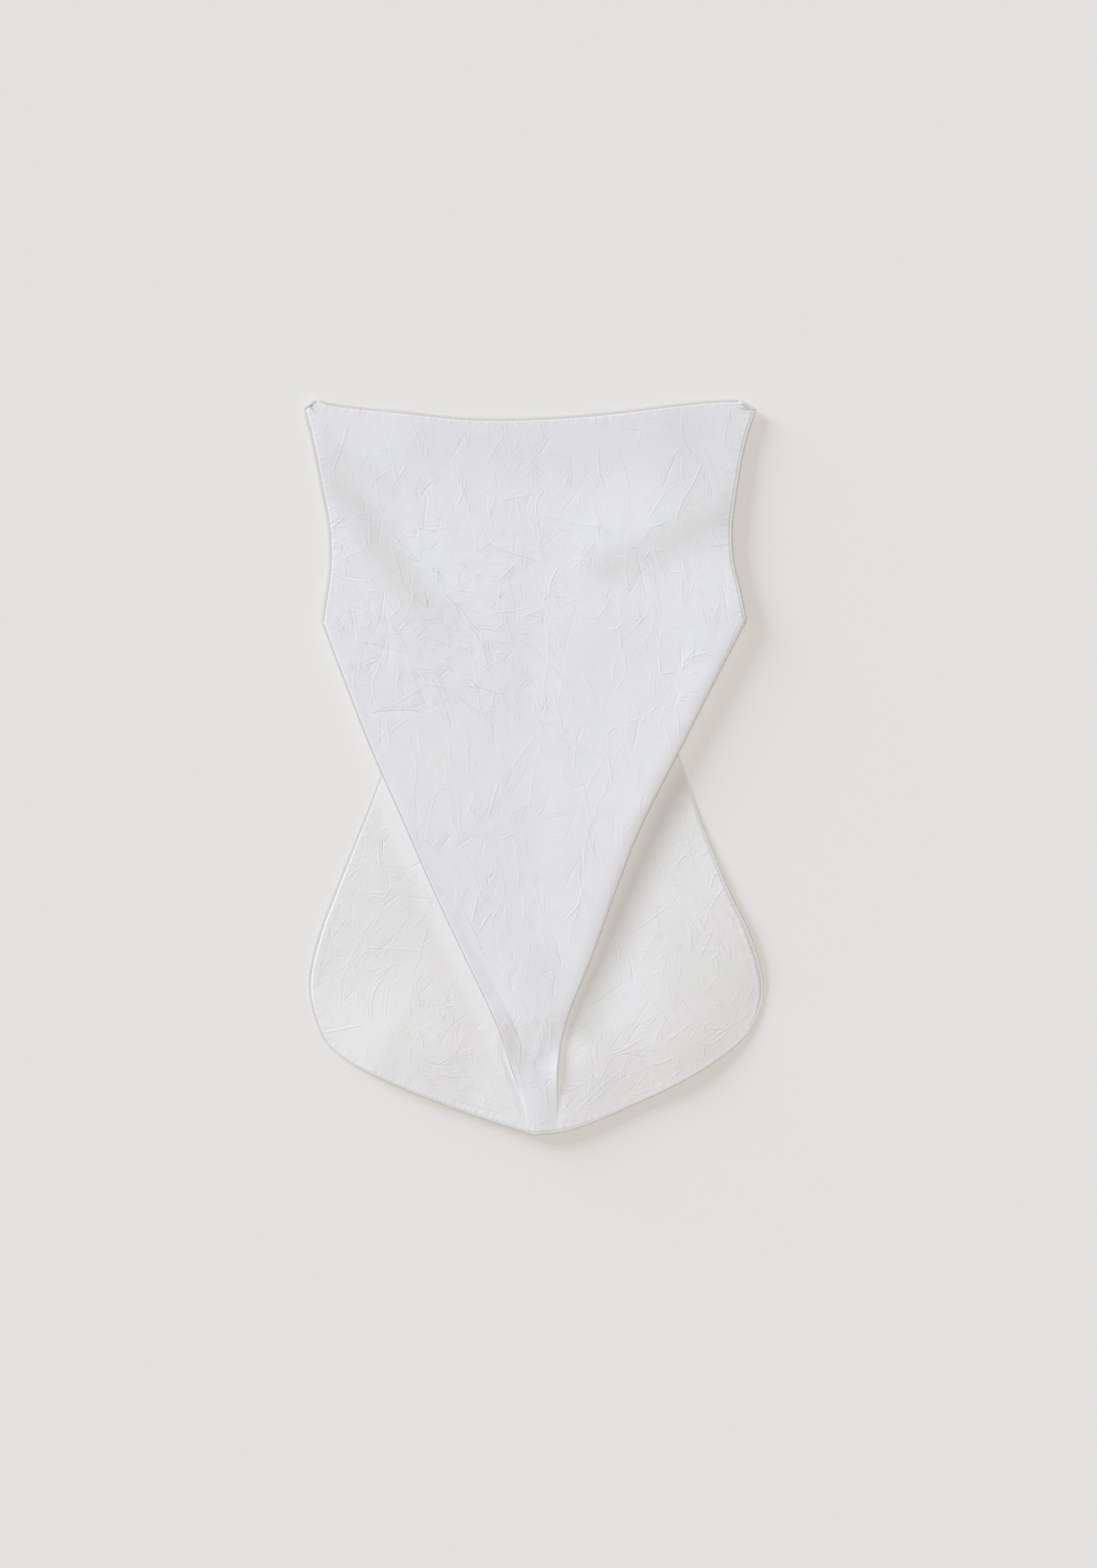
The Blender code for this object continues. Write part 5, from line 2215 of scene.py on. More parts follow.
FRONT_LINES: Table = (
    (8, -146, 614, -143, 598, -141, 577, -138, 565, -127, 547),
    (8, -130, 624, -127, 606, -123, 588, -112, 577), (9, -115, 651, -108, 637, -103, 621, -102, 609),
    (6, -112, 651, -102, 636, -88, 615), (6, -101, 650, -88, 626), (8, -110, 602, -98, 583, -93, 573),
    (6, -105, 603, -98, 598, -88, 587), (10, -184, 647, -190, 636, -195, 625),
    (12, -164, 651, -169, 638, -173, 624, -176, 614, -181, 602, -188, 590),
    (9, -177, 649, -169, 637, -174, 620, -179, 606), (6, -149, 645, -151, 635),
    (6, -142, 645, -135, 635, -130, 626), (7, -174, 609, -169, 604, -169, 598), (7, -156, 570, -147, 567),
    (7, -147, 566, -147, 557), (9, -116, 518, -88, 504, -65, 489), (7, -106, 518, -82, 509),
    (7, -100, 501, -75, 491), (8, -112, 507, -94, 490), (13, -116, 459, -95, 449, -72, 441),
    (13, -17, 449, 15, 423, 41, 405), (10, 27, 478, 56, 467, 74, 496),
    (10, -76, 317, -75, 294, -70, 274, -63, 256, -56, 240, -51, 226, -46, 211, -40, 199),
    (11, -27, 230, -27, 216), (10, -27, 216, -33, 203, -38, 192, -38, 182),
    (10, -27, 216, -19, 205, -12, 195, -8, 184), (8, -38, 253, -33, 245, -28, 236, -30, 225, -32, 216),
    (7, -25, 213, -25, 197, -25, 185, -23, 177),
    (8, -31, 188, -32, 174, -29, 162, -25, 152, -27, 144, -30, 134), (6, -27, 146, -22, 136),
    (8, -20, 273, -16, 260, -15, 250, -13, 236, -14, 226, -16, 216), (6, -20, 270, -15, 261, -9, 250),
    (7, -14, 273, -9, 263, -6, 250), (7, -12, 286, -9, 276, -7, 263, -6, 251),
    (9, -7, 246, -1, 231, 3, 216, 7, 203, 11, 188), (6, -4, 240, 4, 231),
    (8, -12, 230, -9, 218, -9, 203, -6, 193, 3, 182, 9, 176), (8, 1, 334, -1, 322, -3, 307, -4, 290),
    (6, -8, 297, -12, 288, -11, 282), (6, -20, 337, -15, 329, -6, 320), (7, -23, 357, -18, 347, -14, 336),
    (7, -30, 353, -29, 344, -25, 332), (7, -43, 363, -41, 355, -36, 349),
    (11, -80, 369, -70, 359, -61, 350, -59, 340, -59, 329, -55, 320),
    (7, -62, 371, -61, 360, -60, 349, -58, 339), (8, -57, 327, -51, 339, -46, 330, -41, 322),
    (9, -48, 320, -41, 310, -33, 300, -25, 294, -19, 287),
    (8, -30, 327, -28, 317, -30, 310, -23, 302, -19, 290, -16, 279, -14, 271),
    (8, -65, 307, -60, 300, -56, 290, -50, 279, -45, 271, -43, 260, -46, 251),
    (8, -70, 314, -67, 300, -67, 287, -66, 273, -61, 261, -55, 251, -51, 243, -48, 230),
    (10, -90, 332, -86, 324, -82, 316, -76, 319), (8, -83, 315, -90, 304, -93, 290, -96, 273, -98, 256),
    (7, -85, 315, -91, 305, -98, 300), (8, -78, 361, -76, 347, -74, 332, -70, 324),
    (8, -96, 347, -90, 340, -83, 334), (6, -88, 346, -78, 342),
    (8, -105, 370, -103, 355, -100, 340, -98, 329),
    (8, -112, 371, -111, 350, -106, 339, -106, 325, -108, 315, -108, 300, -108, 282),
    (7, -127, 358, -119, 351, -111, 347), (6, -148, 353, -138, 356), (6, -117, 278, -112, 273),
    (6, -101, 271, -103, 263, -104, 255),
    (12, -103, 256, -98, 245, -95, 233, -90, 226, -83, 220, -76, 210, -68, 197, -60, 184, -51, 174, -46, 169),
    (9, -46, 167, -38, 161, -28, 152, -25, 151), (6, -53, 162, -43, 166),
    (7, -46, 188, -41, 180, -36, 171, -38, 164),
    (10, 16, 405, 20, 390, 25, 371, 29, 355, 33, 344, 41, 352), (8, 19, 402, 28, 395, 36, 390, 39, 384),
    (10, 42, 421, 48, 410, 53, 399, 58, 388, 63, 384, 67, 376), (9, 35, 375, 46, 371, 54, 368, 63, 365),
    (6, 30, 356, 40, 353), (7, 61, 352, 65, 343, 72, 338), (7, 67, 361, 67, 352, 70, 341),
    (8, 85, 376, 85, 365, 94, 357, 103, 350, 106, 347), (7, 130, 412, 132, 399, 133, 388, 136, 383),
    (6, 115, 418, 126, 417), (8, 110, 368, 115, 376, 122, 374, 132, 367), (8, 23, 328, 30, 321, 39, 313),
    (9, 37, 339, 41, 324, 46, 311, 48, 296, 51, 279, 48, 270, 46, 256, 45, 239, 42, 226),
    (7, 54, 329, 50, 317, 48, 310), (8, 68, 326, 65, 312, 63, 308, 58, 300, 54, 286, 50, 278),
    (10, 63, 308, 74, 296, 84, 286, 89, 282), (8, 68, 307, 77, 302, 84, 293, 94, 284),
    (8, 96, 284, 85, 289), (9, 96, 284, 90, 291, 87, 296), (8, 96, 284, 93, 296),
    (9, 96, 284, 96, 300, 99, 310), (9, 96, 284, 101, 299, 104, 310), (8, 96, 284, 108, 308),
    (7, 80, 282, 81, 260), (8, 54, 270, 59, 258, 63, 246, 68, 231, 69, 217, 65, 203),
    (8, 42, 226, 46, 210, 51, 194, 52, 184), (7, 39, 217, 35, 196, 33, 174), (6, 25, 270, 13, 270),
    (7, 93, 334, 94, 324, 91, 310), (14, 1, 648, 4, 644, 6, 639, 8, 634, 9, 628),
    (14, -33, 645, -30, 641, -27, 637), (12, -25, 644, -25, 637, -24, 631, -22, 628, -18, 625),
    (12, -23, 626, -22, 621, -20, 616, -17, 612, -11, 611, -6, 610),
    (12, -8, 629, -6, 624, -4, 619, -2, 615, 5, 609), (11, -12, 602, -6, 599, 0, 594),
    (8, -9, 602, -4, 606, -3, 613), (11, -28, 599, -25, 595, -22, 591, -20, 586, -17, 584),
    (8, -17, 584, -19, 579, -19, 569, -20, 563, -22, 551), (11, -34, 579, -36, 572, -39, 565, -41, 556),
    (8, -41, 556, -39, 553, -36, 549), (6, -41, 556, -42, 549, -47, 537),
    (8, -34, 584, -30, 577, -26, 569, -21, 562), (7, -31, 571, -27, 566, -23, 562),
    (7, -36, 599, -34, 594, -33, 591),
    (10, -67, 609, -68, 599, -65, 594, -65, 589, -66, 584, -64, 578, -61, 571, -59, 565),
    (8, -73, 609, -73, 601, -72, 592, -70, 586), (10, -57, 636, -59, 630, -61, 624, -63, 620),
    (9, -75, 639, -71, 634, -69, 629, -69, 621, -68, 615), (10, -49, 634, -46, 629, -43, 621, -39, 613),
    (11, -44, 629, -40, 622, -34, 614, -28, 612, -25, 612), (8, -41, 638, -42, 631, -41, 627),
    (11, -84, 619, -77, 615), (8, -90, 617, -84, 609, -79, 605),
    (10, -95, 594, -90, 589, -86, 581, -82, 576, -76, 572),
    (11, -85, 572, -79, 570, -73, 564, -69, 560, -64, 554), (8, -56, 569, -53, 564, -50, 559),
    (8, -63, 554, -60, 548, -58, 544), (11, -55, 546, -53, 541, -52, 535),
    (8, -51, 545, -51, 538, -52, 531, -54, 524), (8, -79, 555, -78, 546, -76, 541, -74, 534),
    (12, -86, 528, -83, 524), (10, -36, 539, -40, 534, -46, 531, -50, 528),
    (10, -37, 535, -34, 529, -31, 523), (9, -20, 549, -16, 545, -13, 538, -11, 530, -9, 522),
    (7, -19, 548, -19, 534, -19, 523), (11, -13, 554, -10, 549, -7, 543),
    (11, -16, 576, -14, 568, -13, 561, -7, 557), (7, -5, 556, 0, 562),
    (11, 11, 591, 8, 581, 4, 576, 2, 570, 2, 562, 4, 555, 4, 548, 6, 534, 8, 526),
    (8, 16, 589, 12, 584, 10, 576), (12, 8, 570, 12, 566, 17, 561, 22, 555, 26, 551),
    (12, 9, 620, 14, 616, 18, 614), (12, 18, 619, 22, 615, 27, 611), (10, 14, 602, 18, 598, 22, 591),
    (12, 15, 605, 22, 602, 25, 596), (12, 30, 602, 27, 596), (11, 6, 609, 8, 602, 8, 596),
    (7, 10, 595, 13, 589), (10, -1, 605, 5, 601), (11, 11, 537, 14, 533, 18, 527),
    (11, 20, 541, 24, 536, 27, 532), (10, -3, 538, 0, 534, 5, 529), (11, 21, 549, 30, 546),
    (6, -1, 643, -5, 637, -9, 631), (9, -22, 639, -14, 635), (8, -29, 629, -28, 624, -26, 617),
    (8, -18, 629, -15, 624, -15, 619), (9, -52, 646, -49, 641), (6, -37, 598, -43, 593, -48, 587),
    (8, -38, 589, -44, 581, -47, 578), (7, -18, 601, -11, 608), (9, 21, 639, 27, 633),
    (10, -31, 549, -26, 544), (10, -31, 544, -26, 541),
    (13, 103, 652, 106, 649, 114, 645, 121, 641, 125, 638), (11, 110, 651, 114, 648, 118, 642),
    (11, 117, 650, 124, 646, 133, 639), (9, 134, 652, 134, 646, 134, 634, 134, 630),
    (17, 134, 630, 137, 624, 140, 619, 142, 616, 142, 612), (10, 124, 611, 128, 616, 133, 621),
    (10, 84, 652, 87, 646, 90, 640, 93, 634), (11, 48, 648, 50, 642, 52, 639),
    (8, 65, 648, 61, 642, 56, 638), (7, 56, 649, 54, 640),
    (12, 76, 625, 77, 615, 81, 604, 84, 593, 86, 585, 86, 580), (6, 86, 580, 85, 573, 86, 564, 87, 557),
    (9, 59, 624, 58, 613, 57, 602), (10, 58, 601, 60, 596, 63, 590),
    (7, 76, 610, 72, 608, 70, 602, 64, 594), (11, 43, 606, 47, 600, 51, 596, 55, 589, 58, 583),
    (10, 53, 599, 58, 591), (9, 36, 597, 41, 591, 47, 585), (12, 30, 574, 35, 571, 43, 567),
    (10, 30, 556, 35, 549), (12, 52, 570, 55, 562, 60, 552, 64, 548, 69, 542, 74, 534),
    (12, 37, 545, 42, 538, 46, 530, 50, 523), (9, 40, 533, 45, 526, 50, 520, 54, 517),
    (9, 30, 546, 34, 542), (8, 30, 516, 36, 519, 46, 519, 50, 520), (15, 85, 531, 94, 530),
    (11, 93, 530, 95, 525, 102, 519), (11, 103, 519, 109, 512),
    (14, 89, 517, 97, 513, 102, 510, 107, 506, 113, 504), (11, 100, 508, 107, 504, 113, 501),
    (10, 100, 552, 105, 547, 110, 541, 114, 534), (11, 99, 545, 105, 539),
    (11, 94, 557, 96, 550, 102, 543, 108, 535, 109, 529, 114, 520, 121, 509, 126, 500),
    (10, 105, 533, 107, 528, 112, 519, 116, 508, 123, 500), (10, 111, 533, 117, 522, 122, 513),
    (11, 123, 535, 128, 527, 133, 520, 137, 515, 142, 509, 145, 503), (12, 133, 515, 138, 509, 141, 505),
    (10, 122, 508, 131, 508, 139, 505), (9, 145, 503, 149, 506, 153, 504),
    (11, 121, 584, 116, 576, 111, 568, 105, 559, 101, 554),
    (11, 134, 615, 134, 600, 136, 589, 140, 585, 145, 580, 151, 576, 159, 567),
    (10, 136, 579, 142, 574, 148, 570, 159, 565), (10, 144, 619, 146, 609, 149, 603, 153, 600, 160, 598),
    (9, 149, 602, 151, 597, 155, 588, 158, 579), (9, 154, 625, 154, 617, 159, 608, 162, 600),
    (12, 165, 584, 168, 580, 173, 576, 178, 571), (9, 171, 583, 176, 579),
    (12, 160, 552, 161, 543, 163, 538, 167, 534, 175, 533), (14, 156, 534, 160, 532, 165, 533, 171, 531),
    (20, 176, 654, 177, 650, 177, 646), (10, 175, 646, 173, 635, 172, 625, 173, 615),
    (10, 184, 641, 185, 633, 186, 625), (8, 179, 627, 174, 615), (10, 157, 653, 162, 647, 164, 643),
    (8, 146, 653, 148, 645, 150, 637), (8, 179, 606, 174, 599, 172, 593), (10, 156, 515, 162, 511),
    (8, 145, 500, 143, 493, 140, 486), (10, 146, 499, 149, 492, 153, 484),
    (8, 150, 524, 149, 515, 145, 509), (11, 70, 497, 66, 489, 64, 485, 69, 482), (8, 60, 486, 66, 489),
    (11, 61, 513, 66, 506, 74, 498), (10, 70, 517, 75, 506, 81, 501),
    (11, 82, 516, 84, 505, 85, 496, 87, 492), (8, 82, 524, 85, 517), (8, 30, 506, 38, 500, 47, 493),
    (10, 30, 481, 40, 484, 46, 480), (7, 101, 583, 110, 571), (7, 73, 634, 76, 630),
    (8, 125, 591, 128, 586), (12, -137, 559, -135, 552, -129, 544, -122, 536, -118, 530),
    (12, -147, 565, -148, 557, -148, 549, -148, 539, -149, 526),
    (10, -185, 568, -175, 566, -166, 563, -162, 559), (-10, -180, 550, -172, 553, -162, 559),
    (9, -182, 545, -174, 540, -170, 532, -163, 519),
    (12, -180, 540, -175, 532, -172, 526, -169, 517, -160, 506), (12, -180, 527, -174, 524, -170, 517),
    (14, -130, 534, -125, 528, -118, 524, -110, 520, -100, 519), (9, -116, 541, -103, 540, -96, 536),
    (8, -116, 564, -105, 556, -95, 549), (14, -155, 503, -149, 496), (12, -149, 502, -146, 497, -143, 494),
    (11, -142, 499, -137, 493), (9, -138, 507, -130, 502), (12, -127, 506, -121, 501, -112, 493),
    (10, -122, 499, -116, 492, -110, 485), (10, -107, 509, -109, 498, -110, 492),
    (12, -106, 493, -109, 485, -113, 474, -114, 470), (12, -106, 493, -100, 489, -90, 481),
    (10, -125, 495, -121, 484, -119, 470), (14, -135, 485, -129, 477, -122, 468),
    (15, -132, 467, -126, 457, -121, 451, -118, 444, -114, 433), (13, -112, 465, -120, 457, -122, 454),
    (7, -105, 467, -90, 465), (13, -145, 478, -141, 470, -134, 465, -132, 461),
    (9, -149, 477, -146, 468, -142, 460), (12, -163, 482, -158, 476, -154, 474, -151, 468),
    (10, -179, 498, -175, 488, -168, 483, -163, 482), (12, -176, 482, -172, 474, -166, 472),
    (13, -170, 470, -166, 465, -162, 461), (10, -175, 469, -171, 464, -174, 453, -176, 444),
    (13, -160, 461, -151, 458, -145, 451), (10, -140, 452, -134, 442), (10, -147, 448, -142, 438),
    (9, -155, 440, -157, 426, -158, 413), (11, -137, 430, -141, 420, -145, 410, -145, 399, -142, 389),
    (8, -134, 435, -135, 422), (8, -121, 430, -122, 420, -124, 405),
    (14, -114, 433, -112, 423, -109, 414, -105, 403), (12, -109, 427, -104, 420, -99, 413, -95, 401),
    (8, -108, 442, -100, 431), (12, -102, 447, -96, 438, -90, 435), (10, -110, 406, -103, 394, -95, 386),
    (12, -114, 397, -109, 388, -108, 384, -100, 381), (8, -120, 394, -118, 378), (9, -97, 428, -90, 414),
    (18, -85, 492, -78, 486, -73, 482, -64, 477, -62, 475),
    (16, -78, 485, -72, 479, -68, 473, -69, 469, -67, 466, -64, 462),
    (20, -77, 483, -67, 476, -62, 470, -59, 463, -54, 460, -50, 455),
    (10, -67, 487, -67, 483, -62, 478, -60, 473), (13, -71, 517, -64, 515, -60, 510),
    (10, -61, 493, -54, 488, -48, 484, -43, 479, -42, 473), (10, -28, 520, -24, 512, -21, 504),
    (8, -32, 509, -28, 505, -22, 502), (13, -30, 499, -31, 487, -32, 476, -28, 468, -23, 462),
    (13, -25, 462, -22, 455, -20, 448, -19, 445), (11, -53, 469, -50, 467, -45, 462, -40, 460, -33, 457),
    (10, -60, 475, -50, 473), (8, -53, 469, -45, 467, -41, 468),
    (10, -83, 453, -78, 452, -76, 451, -77, 445, -78, 437), (14, -71, 442, -67, 440, -59, 440),
    (10, -60, 452, -53, 453), (8, -70, 448, -67, 445), (9, -67, 449, -62, 446, -58, 442, -57, 437),
    (10, -52, 447, -47, 444, -43, 437), (8, -52, 445, -49, 437, -48, 430),
    (14, -40, 450, -35, 446, -28, 445, -20, 445), (10, -42, 434, -35, 434, -30, 436, -23, 435),
    (9, -18, 462, -11, 462), (16, -10, 467, -3, 471, 3, 473, 10, 477), (8, -7, 462, 0, 463, 9, 467),
    (14, 10, 475, 13, 471, 20, 466), (14, -12, 454, -7, 453, -2, 452), (10, -17, 455, -14, 451),
    (20, -17, 447, -12, 447, -8, 444, -4, 442, 0, 439, 4, 435, 5, 432, 10, 430),
    (9, -8, 411, -13, 405, -18, 401), (10, -7, 403, -3, 399, 0, 397), (7, 5, 409, 2, 402, 0, 395),
    (12, 0, 397, 0, 387, 1, 379, 5, 372, 10, 369), (11, 1, 378, 8, 373, 17, 371), (10, -37, 422, -32, 418),
    (12, -42, 422, -40, 417, -37, 413), (11, -49, 427, -45, 423, -42, 420), (8, -56, 430, -49, 427),
    (8, -31, 418, -26, 414), (14, -30, 409, -26, 406, -22, 403),
    (12, -36, 407, -32, 402, -29, 399, -26, 390, -22, 382), (12, -23, 392, -18, 387, -15, 382, -12, 371),
    (10, -19, 382, -17, 374, -13, 366), (12, -70, 417, -67, 415),
    (10, -67, 415, -62, 409, -60, 402, -53, 390), (20, -62, 414, -57, 411, -53, 407, -50, 403),
    (13, -84, 428, -80, 425, -74, 423), (13, -95, 424, -90, 418, -86, 411, -82, 402, -78, 392, -72, 380),
    (12, -72, 402, -67, 394, -61, 390), (13, -50, 398, -49, 387, -46, 380, -43, 375, -45, 371),
    (14, -57, 386, -52, 384, -49, 380), (9, -45, 383, -37, 383, -36, 381),
    (10, -67, 375, -63, 369, -62, 365), (9, -62, 389, -58, 383, -57, 377),
    (9, -90, 403, -84, 395, -78, 387), (9, -95, 397, -87, 387, -82, 378), (11, 0, 510, 6, 505, 8, 500),
    (11, 11, 509, 12, 501, 15, 494, 19, 487, 21, 479, 25, 473, 30, 467), (10, 22, 507, 27, 501, 30, 495),
    (10, 24, 512, 27, 507), (9, 27, 487, 24, 480), (11, 27, 482, 30, 480),
    (13, 22, 449, 23, 443, 27, 437, 30, 432), (7, 21, 459, 23, 455),
    (14, 69, 457, 76, 457, 78, 460, 81, 464), (12, 69, 457, 76, 453),
    (13, 78, 456, 79, 450, 85, 445, 90, 440, 93, 436, 99, 433),
    (12, 80, 458, 86, 453, 93, 448, 99, 444, 102, 442), (9, 76, 447, 80, 440, 86, 433),
    (9, 90, 437, 86, 432), (10, 104, 485, 108, 472, 111, 462), (9, 90, 485, 94, 475, 96, 463),
    (18, 113, 436, 114, 426, 115, 416, 121, 417, 126, 418, 128, 414, 130, 409),
    (8, 112, 437, 114, 446, 116, 457), (12, 106, 421, 106, 415, 105, 411),
    (14, 106, 415, 112, 411, 117, 407, 121, 403, 124, 400), (10, 109, 407, 108, 402, 110, 394),
    (11, 110, 408, 116, 401, 119, 398), (10, 124, 408, 121, 403), (8, 100, 408, 108, 407),
    (13, 130, 425, 133, 421, 136, 425, 139, 423), (12, 138, 415, 143, 417, 148, 418, 149, 417),
    (10, 145, 446, 144, 437, 142, 424), (15, 151, 437, 155, 434, 163, 433),
    (12, 150, 484, 155, 478, 160, 474, 164, 464, 168, 457), (11, 173, 472, 180, 462),
    (13, 113, 391, 117, 386, 122, 380, 126, 376), (11, 100, 379, 105, 381, 111, 387, 114, 390),
    (10, 122, 389, 121, 384), (12, 117, 372, 121, 362, 124, 352, 125, 346),
    (9, 130, 381, 136, 374, 136, 368), (12, 84, 372, 89, 374, 95, 376, 99, 371),
    (8, 83, 398, 86, 385, 85, 375), (9, 87, 395, 93, 384, 96, 376), (10, 80, 412, 76, 404, 73, 401),
    (11, 66, 360, 70, 367, 76, 368), (10, 71, 362, 73, 360), (11, 82, 369, 86, 361),
    (14, 72, 351, 78, 345, 84, 337, 93, 334), (10, 77, 358, 84, 344), (10, 110, 362, 116, 359),
    (10, 140, 399, 146, 395, 149, 390),
    (12, 186, 472, 186, 466, 180, 454, 176, 442, 173, 432, 168, 421, 162, 411, 154, 400, 150, 392),
)
TAIL_LINES: Table = (
    (9, -144, 300, -140, 292, -140, 279), (10, -140, 273, -140, 250, -137, 236, -132, 230, -128, 225),
    (7, -162, 248, -148, 255), (10, -151, 211, -146, 216, -135, 214, -130, 222, -128, 226),
    (8, -135, 213, -138, 201, -145, 188), (9, -129, 223, -122, 216, -119, 211, -114, 201, -111, 197),
    (8, -127, 233, -120, 236, -116, 238), (7, -115, 228, -109, 234, -105, 237),
    (8, -146, 181, -139, 187, -130, 189), (8, -123, 186, -118, 191, -111, 194),
    (9, -162, 201, -158, 187, -152, 179, -148, 169), (8, -159, 159, -152, 166, -145, 167),
    (11, -95, 197, -97, 184, -101, 172, -104, 159, -109, 147, -113, 139),
    (10, -119, 142, -112, 134, -106, 127), (7, -145, 127, -142, 136, -135, 142),
    (10, -85, 157, -75, 154, -68, 146, -62, 132), (8, -101, 166, -93, 163, -86, 161),
    (8, -87, 176, -78, 168, -68, 167), (7, -133, 177, -130, 169, -127, 159), (6, -123, 169, -118, 159),
    (9, -179, 165, -187, 156, -193, 148), (8, -179, 173, -179, 161, -173, 157),
    (8, -184, 140, -176, 136, -172, 130),
    (10, 132, 317, 134, 300, 138, 274, 141, 256, 146, 239, 152, 226, 158, 211, 160, 205),
    (8, 147, 284, 143, 269, 141, 256), (8, 107, 282, 108, 265, 108, 252, 113, 239, 111, 230),
    (8, 115, 284, 122, 269, 126, 255),
    (11, 113, 246, 125, 235, 136, 226, 150, 211, 158, 201, 171, 184, 174, 172),
    (9, 122, 211, 132, 203, 143, 191, 156, 172), (8, 134, 194, 135, 180, 141, 168, 146, 163),
    (7, 112, 165, 122, 174, 126, 177), (8, 141, 168, 155, 167, 169, 166), (7, 146, 220, 145, 206),
    (9, 162, 213, 174, 203, 184, 191), (8, 172, 226, 163, 213), (11, -140, 274, -134, 277, -130, 279),
    (12, -153, 287, -150, 283, -147, 277, -143, 269, -141, 256, -140, 246, -137, 239, -133, 233),
    (12, -169, 231, -160, 240, -153, 241), (11, -132, 233, -124, 234),
    (10, -129, 223, -133, 219, -139, 218, -147, 219, -151, 213), (10, -159, 229, -156, 221, -151, 214),
    (9, -140, 174, -141, 166, -146, 153), (10, -130, 164, -121, 161), (10, -131, 159, -124, 155),
    (8, -179, 146, -167, 156, -160, 161), (10, -196, 140, -191, 136), (12, -191, 117, -186, 110, -180, 97),
    (9, -196, 127, -189, 117), (9, -156, 133, -160, 127, -159, 111), (11, -157, 129, -149, 109, -144, 101),
    (13, -136, 140, -141, 136, -146, 124, -147, 106, -145, 101), (10, -133, 134, -121, 139),
    (16, -113, 133, -106, 127, -103, 120, -97, 111), (11, -100, 147, -106, 139, -106, 129, -104, 123),
    (9, -124, 120, -123, 109), (11, -114, 120, -111, 111, -113, 106), (10, -97, 111, -89, 97),
    (11, -96, 127, -84, 119, -75, 111), (9, -96, 206, -100, 197, -110, 186), (9, -93, 204, -87, 197),
    (16, 127, 240, 133, 249, 140, 254), (12, 147, 252, 158, 255), (18, 165, 238, 162, 231, 159, 221),
    (18, 172, 224, 166, 215, 162, 209, 158, 202),
    (11, 141, 232, 144, 224, 151, 217, 157, 207, 160, 199, 171, 190), (10, 122, 234, 132, 224, 141, 215),
    (11, 116, 229, 126, 213, 137, 199, 147, 184, 158, 176),
    (14, 141, 206, 151, 192, 155, 184, 166, 176, 174, 165, 182, 156), (10, 149, 196, 157, 199),
    (11, 158, 199, 154, 190, 152, 184), (12, 112, 159, 118, 162), (12, 108, 144, 111, 147, 116, 148),
    (12, 133, 174, 130, 167), (10, 130, 165, 133, 152, 130, 135), (10, 155, 156, 163, 160, 169, 165),
    (10, 138, 190, 144, 182, 154, 174), (10, 85, 159, 97, 138, 105, 124, 118, 106, 132, 84),
    (10, 119, 138, 130, 123, 137, 118), (10, 115, 160, 124, 138, 132, 124, 143, 109, 152, 95, 163, 77),
    (10, 138, 142, 149, 134, 160, 127, 172, 117, 179, 109), (9, 158, 135, 168, 121, 172, 110),
    (12, 187, 134, 183, 124, 176, 117), (12, 201, 137, 194, 124, 191, 115),
    (11, 196, 157, 201, 149, 196, 138), (10, 193, 163, 197, 157), (8, 169, 160, 179, 145, 188, 137),
    (8, 179, 198, 179, 184), (8, 182, 180, 182, 152), (12, 188, 187, 194, 171, 199, 163),
    (11, 174, 187, 182, 176, 193, 167), (15, 101, 96, 104, 99, 111, 108), (13, 132, 93, 140, 99, 145, 101),
    (13, 154, 93, 154, 99, 158, 102, 163, 102), (13, 187, 104, 193, 109, 194, 106), (10, 185, 92, 194, 95),
    (9, 132, 74, 130, 65), (14, 85, 87, 94, 74, 104, 59), (11, 101, 63, 116, 65, 130, 72),
    (9, 163, 113, 166, 121), (9, 122, 168, 118, 152, 113, 135), (10, 91, 166, 105, 167, 112, 163),
)
TIP_LINES: Table = (
    (10, -44, 101, -29, 84), (11, -36, 87, -31, 71, -26, 59, -25, 48, -22, 37),
    (10, -52, 85, -38, 64, -30, 51, -22, 38), (9, -75, 81, -70, 74, -70, 67, -63, 56, -59, 48),
    (7, -66, 80, -56, 69), (11, -38, 49, -22, 33, -4, 12), (10, -22, 36, -7, 27, 2, 17, 12, 14),
    (8, -11, 19, -2, 7), (9, -52, 53, -48, 42, -43, 28, -40, 19), (9, -75, 46, -65, 35, -58, 24),
    (8, -14, 58, -10, 46, -6, 36), (7, -2, 107, -1, 101, 3, 96), (8, 8, 107, 8, 93, 8, 87, 12, 74),
    (9, 1, 91, 2, 81, 8, 69, 14, 60), (9, 15, 106, 16, 101, 15, 83, 14, 70),
    (10, 27, 99, 26, 93, 23, 81, 22, 67, 19, 62), (8, 30, 112, 33, 105), (10, 12, 57, 22, 59),
    (9, 12, 51, 19, 52), (11, 20, 51, 21, 37, 22, 30), (13, 37, 72, 46, 62, 57, 48, 62, 37, 66, 28),
    (9, 44, 77, 48, 65, 54, 56), (9, 24, 33, 32, 24, 37, 14), (8, 36, 21, 46, 30, 54, 35),
    (8, 3, 8, 7, 12, 12, 14), (8, 14, 6, 24, 12, 28, 14), (7, 28, 12, 33, 19), (8, 23, 30, 25, 17),
    (8, 69, 101, 69, 81), (9, 53, 106, 69, 87),
)


def placed(lines: Table) -> list[Crease]:
    """Turns rows of how plain a crease is, and then x and level by turns, into creases."""
    return [Crease(tuple(zip(row[1::2], row[2::2])), FORM_HALF_WIDTH, row[0] * FORM_PER_STEP,
                   row[0] * LINE_PER_STEP) for row in lines]


def on_side(cut: SideCut, area: tuple[float, ...]) -> tuple[float, ...]:
    """Turns an area of (across, level, across, level) to the cut's own side of the middle line."""
    near, foot, far, top = area
    return area if cut.side is Side.LEFT else (-far, foot, -near, top)


